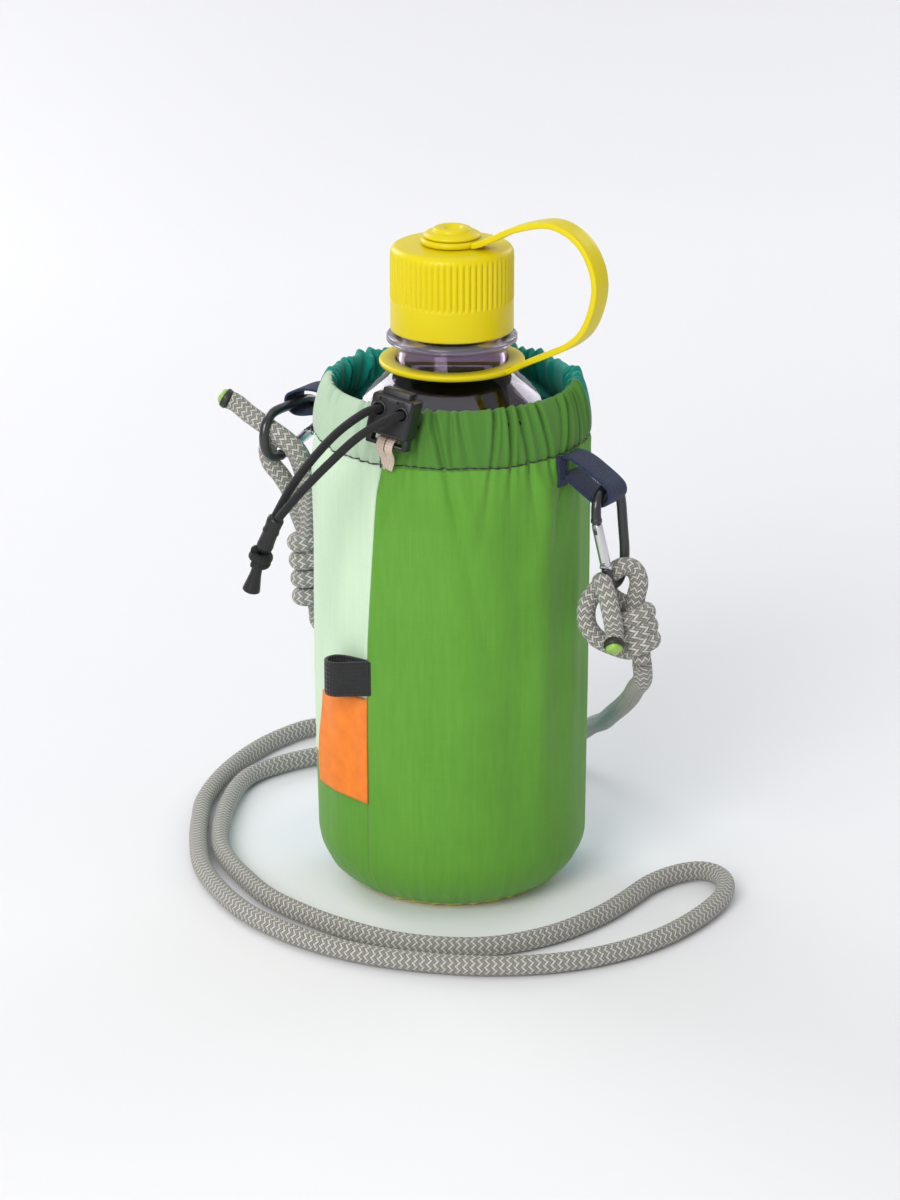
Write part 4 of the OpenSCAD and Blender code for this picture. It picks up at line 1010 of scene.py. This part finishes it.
tape_side = tuple(LOCK.to_3x3() @ Vector((0, 1, 0)))
for name, y in (("anchor_tape_left", -1.5), ("anchor_tape_right", 1.5)):
    line = [lock_point(a, y * b, c) for a, b, c in (
        (-2.6, 1, -7.4), (-1.6, 1, -6.0), (0.4, 1, -5.7), (2.1, 1, -6.1), (2.8, 1, -7.5), (2.5, 1, -9.0),
        (1.0, 1, -10.2), (-1.2, 0.9, -11.6), (-3.2, 0.7, -13.4), (-4.3, 0.4, -15), (-4.9, 0.2, -16.6))]
    folded(name, line, 2.7, 0.7, tape_mat, tape_side, "lock_anchor_tape", "tan_tape")

# ---------------------------------------------------------------- drawcord, its two free ends and the pull
# Black braided elastic runs round the hem, out through the lock and down to a moulded pull.
# The pull grips both ends: a sleeve, a knot of the same cord and a flared rubber tail.

cord_mat, nt, p = new_material("shock_cord", (0.009, 0.009, 0.010), 0.55, **{SHEEN: 0.05, SPEC: 0.3})
part = node(nt, "ShaderNodeSeparateXYZ", "Vector", coords(nt, "UV"))
turns_u = mul(nt, part.outputs[0], 8 * 2 * math.pi)
along_v = mul(nt, part.outputs[1], 2 * math.pi / 1.5)
plait = mul(nt, calc(nt, "SINE", add(nt, turns_u, along_v)),
             calc(nt, "SINE", calc(nt, "SUBTRACT", turns_u, along_v)))
# The colour follows the plait's relief, darker in its hollows and lighter on its ridges: painted shade.
shade = calc(nt, "MULTIPLY_ADD", plait, 0.5, 0.5)
nt.links.new(blend_colours(nt, shade, (0.004, 0.004, 0.005), (0.018, 0.018, 0.019)), p.inputs["Base Color"])
bump(nt, p, plait, 0.8, 0.12 * MM)
rubber_mat = grained("pull_rubber", (0.012, 0.012, 0.013), 0.4, 700, 3, 0.3, 0.08, **{SPEC: 0.4})

CORD_D = 2.8
around = [at(a, 41.4, 170.45) for a in np.linspace(-76, 260, 113)]
drawcord, _, _ = tube("drawcord_braid", around, 1.2, 12, 1.2, cord_mat)
LEFT_CORD = [(4.4, -41.4, 170.5), (4.9, -43.4, 176.3), (5.5, -45.3, 177.9), (6.2, -49, 178.6),
             (7.1, -53.6, 179.4), (5.4, -59.4, 179), (0, -66.5, 173.5), (-6, -72, 165), (-11.5, -75.6, 156), (-16.8, -77, 146)]
RIGHT_CORD = [(11.5, -40, 170.5), (11.9, -41.7, 174.5), (13.1, -44, 176.6), (13.8, -47.8, 177.2),
              (14.7, -52.3, 178), (13.9, -58, 178), (8, -66, 173.5), (0.5, -73, 164.5), (-7, -77.8, 155), (-14.2, -79.4, 146)]
fit(drawcord, "carrier", "shock_cord", "drawcord")
free_cords = {}
for side, line in (("left", LEFT_CORD), ("right", RIGHT_CORD)):
    free_cords[side] = tube(f"shock_cord_{side}_braid", line, CORD_D / 2, 14, 0.8, cord_mat)
    fit(free_cords[side][0], "carrier", "shock_cord", f"shock_cord_{side}")

SLEEVE_TOP, SLEEVE_END = Vector((-15.7, -78.3, 145.6)), Vector((-20.3, -79.2, 134.4))
down = (SLEEVE_END - SLEEVE_TOP).normalized()
grip = (SLEEVE_END - SLEEVE_TOP).length
sleeve = lathe("pull_sleeve_mould", [
    (0, -0.4), (1.9, -0.4), (2.5, 0), (2.75, 0.7), (2.65, 2.2), (2.5, 4), (2.75, 4.6), (2.75, 5.3), (2.5, 5.9),
    (2.6, 9), (2.75, 10.4), (2.5, grip), (0, grip)], rubber_mat, 48)
place(sleeve, SLEEVE_TOP, down)
knot_at = Vector((-21.4, -79.4, 131.6))
side_a = down.orthogonal().normalized()
side_b = down.cross(side_a)
KNOT_TURNS = 1.9
knot_line = [tuple(knot_at + (side_a * math.cos(a) + side_b * math.sin(a)) * 2.4
                   + down * (a / (2 * math.pi) - KNOT_TURNS / 2) * 1.9)
             for a in np.linspace(0, 2 * math.pi * KNOT_TURNS, 34)]
pull_knot, _, _ = tube("pull_knot_wraps", knot_line, 1.55, 14, 0.5, cord_mat)
tail_top, tail_end = Vector((-21.9, -79.6, 130)), Vector((-24.6, -80.6, 120))
tail_len = (tail_end - tail_top).length
tail = lathe("pull_tail_mould", [
    (0, -0.5), (1.7, -0.5), (1.85, 0.5), (1.75, 2), (2.0, 4.5), (2.6, 7.5), (3.0, tail_len - 0.8),
    (3.0, tail_len - 0.3), (2.6, tail_len), (1.2, tail_len), (1.0, tail_len - 0.8), (0, tail_len - 0.8)],
    rubber_mat, 48,
    lambda a, z, r: (r > 1.2) * -0.22 * np.abs(np.sin(1.5 * a)) * np.clip(z / 6, 0, 1))
place(tail, tail_top, tail_end - tail_top)
for o, cad in ((sleeve, "pull_sleeve"), (pull_knot, "pull_knot"), (tail, "pull_tail")):
    fit(o, "carrier", "pull_rubber", cad)

# ---------------------------------------------------------------- carabiners
# Bent black wire with a bright hinged gate whose forked end closes over the wire's tip.
# A short coil spring inside the gate keeps it shut.

wire_mat = grained("black_metal", (0.012, 0.012, 0.014), 0.3, 500, 3, 0.12, 0.06, **{COAT: 0.35, SPEC: 0.6})
gate_mat, nt, p = new_material("silver_metal", (0.66, 0.66, 0.68), 0.28, **{"Metallic": 1.0})
brushed = node(nt, "ShaderNodeMapping", "Vector", coords(nt))
brushed.inputs["Scale"].default_value = (1, 1, 0.08)
bump(nt, p, noise(nt, brushed.outputs[0], 1200, 3), 0.15, 0.05 * MM)

BINER = [(-8, -15.2), (-8, -13.4), (-7.3, -9.8), (-5, -7), (-2.5, -5.8), (0, -5.4), (2.5, -5.8), (5, -7),
         (7.3, -9.8), (8, -13.4), (8, -18), (8, -23), (8, -28), (7.2, -32.4), (5, -36), (2.4, -38.1),
         (-0.4, -38.3), (-2.6, -36.8), (-3.6, -34.4), (-4.2, -31.6)]
HANG = {
    "right": Matrix.Translation((59.3 * MM, 0, 153.7 * MM)) @ Matrix.Rotation(math.radians(-5.6), 4, "Y"),
    "left": Matrix(((1, 0, 0, -57.5 * MM), (0, 0, -1, -31.9 * MM), (0, 1, 0, 151.5 * MM), (0, 0, 0, 1))),
}
pivot, top = Vector((0, -4.2, -31.6)), Vector((0, -8, -15.9))
gate_len, along = (top - pivot).length, (top - pivot).normalized()
sa = along.orthogonal().normalized()
sb = along.cross(sa)
coil = [tuple(pivot + along * (3 + 6.6 * k / 96) + (sa * math.cos(k / 3.0) + sb * math.sin(k / 3.0)) * 0.62)
        for k in range(97)]
for side, hang in HANG.items():
    wire, _, _ = tube(f"{side}_carabiner_wire", [(0, y, z) for y, z in BINER], 1.65, 20, 0.5, wire_mat)
    tip = lathe(f"{side}_carabiner_tip", [
        (0, -0.2), (1.75, -0.2), (1.85, 0.2), (1.85, 1.1), (1.4, 1.6), (0, 1.7)], wire_mat, 32)
    place(tip, (0, -8, -14.2), (0, 0, -1))
    gate = lathe(f"{side}_gate_rod", round_profile(1.75, 0.6, gate_len, 0.45, 4), gate_mat, 40)
    cut(gate, [box("g0", (-0.62, -3, gate_len - 3.2), (0.62, 3, gate_len + 1), gate_mat),
               box("g1", (-0.9, -3, -1), (0.9, 3, 2.6), gate_mat)])
    place(gate, pivot, top - pivot)
    smooth_by_angle(gate, 40)
    pin, _, _ = tube(f"{side}_gate_rivet", [(-2.1, -4.2, -31.6), (2.1, -4.2, -31.6)], 0.72, 20, 0.5, steel_mat)
    small_spring, _, _ = tube(f"{side}_gate_coil", coil, 0.13, 8, 0.3, steel_mat)
    for o, cad, body, slot in ((wire, "carabiner_frame", "carabiner", "black_metal"),
                               (tip, "carabiner_frame", "carabiner", "black_metal"),
                               (pin, "gate_pin", "carabiner", "spring_steel"),
                               (gate, "gate", "gate_body", "silver_metal"),
                               (small_spring, "gate_spring", "gate_body", "spring_steel")):
        o.data.transform(hang)
        fit(o, f"{side}_{body}", slot, f"{side}_{cad}")

# ---------------------------------------------------------------- free cords
# The strap is one rope in three lengths, and the elastic has two free ends in the pull.
# Each length starts where it leaves the piece before it.

for side, pieces in (("left", (sleeve, pull_knot, tail)), ("right", ())):
    o, path, length = free_cords[side]
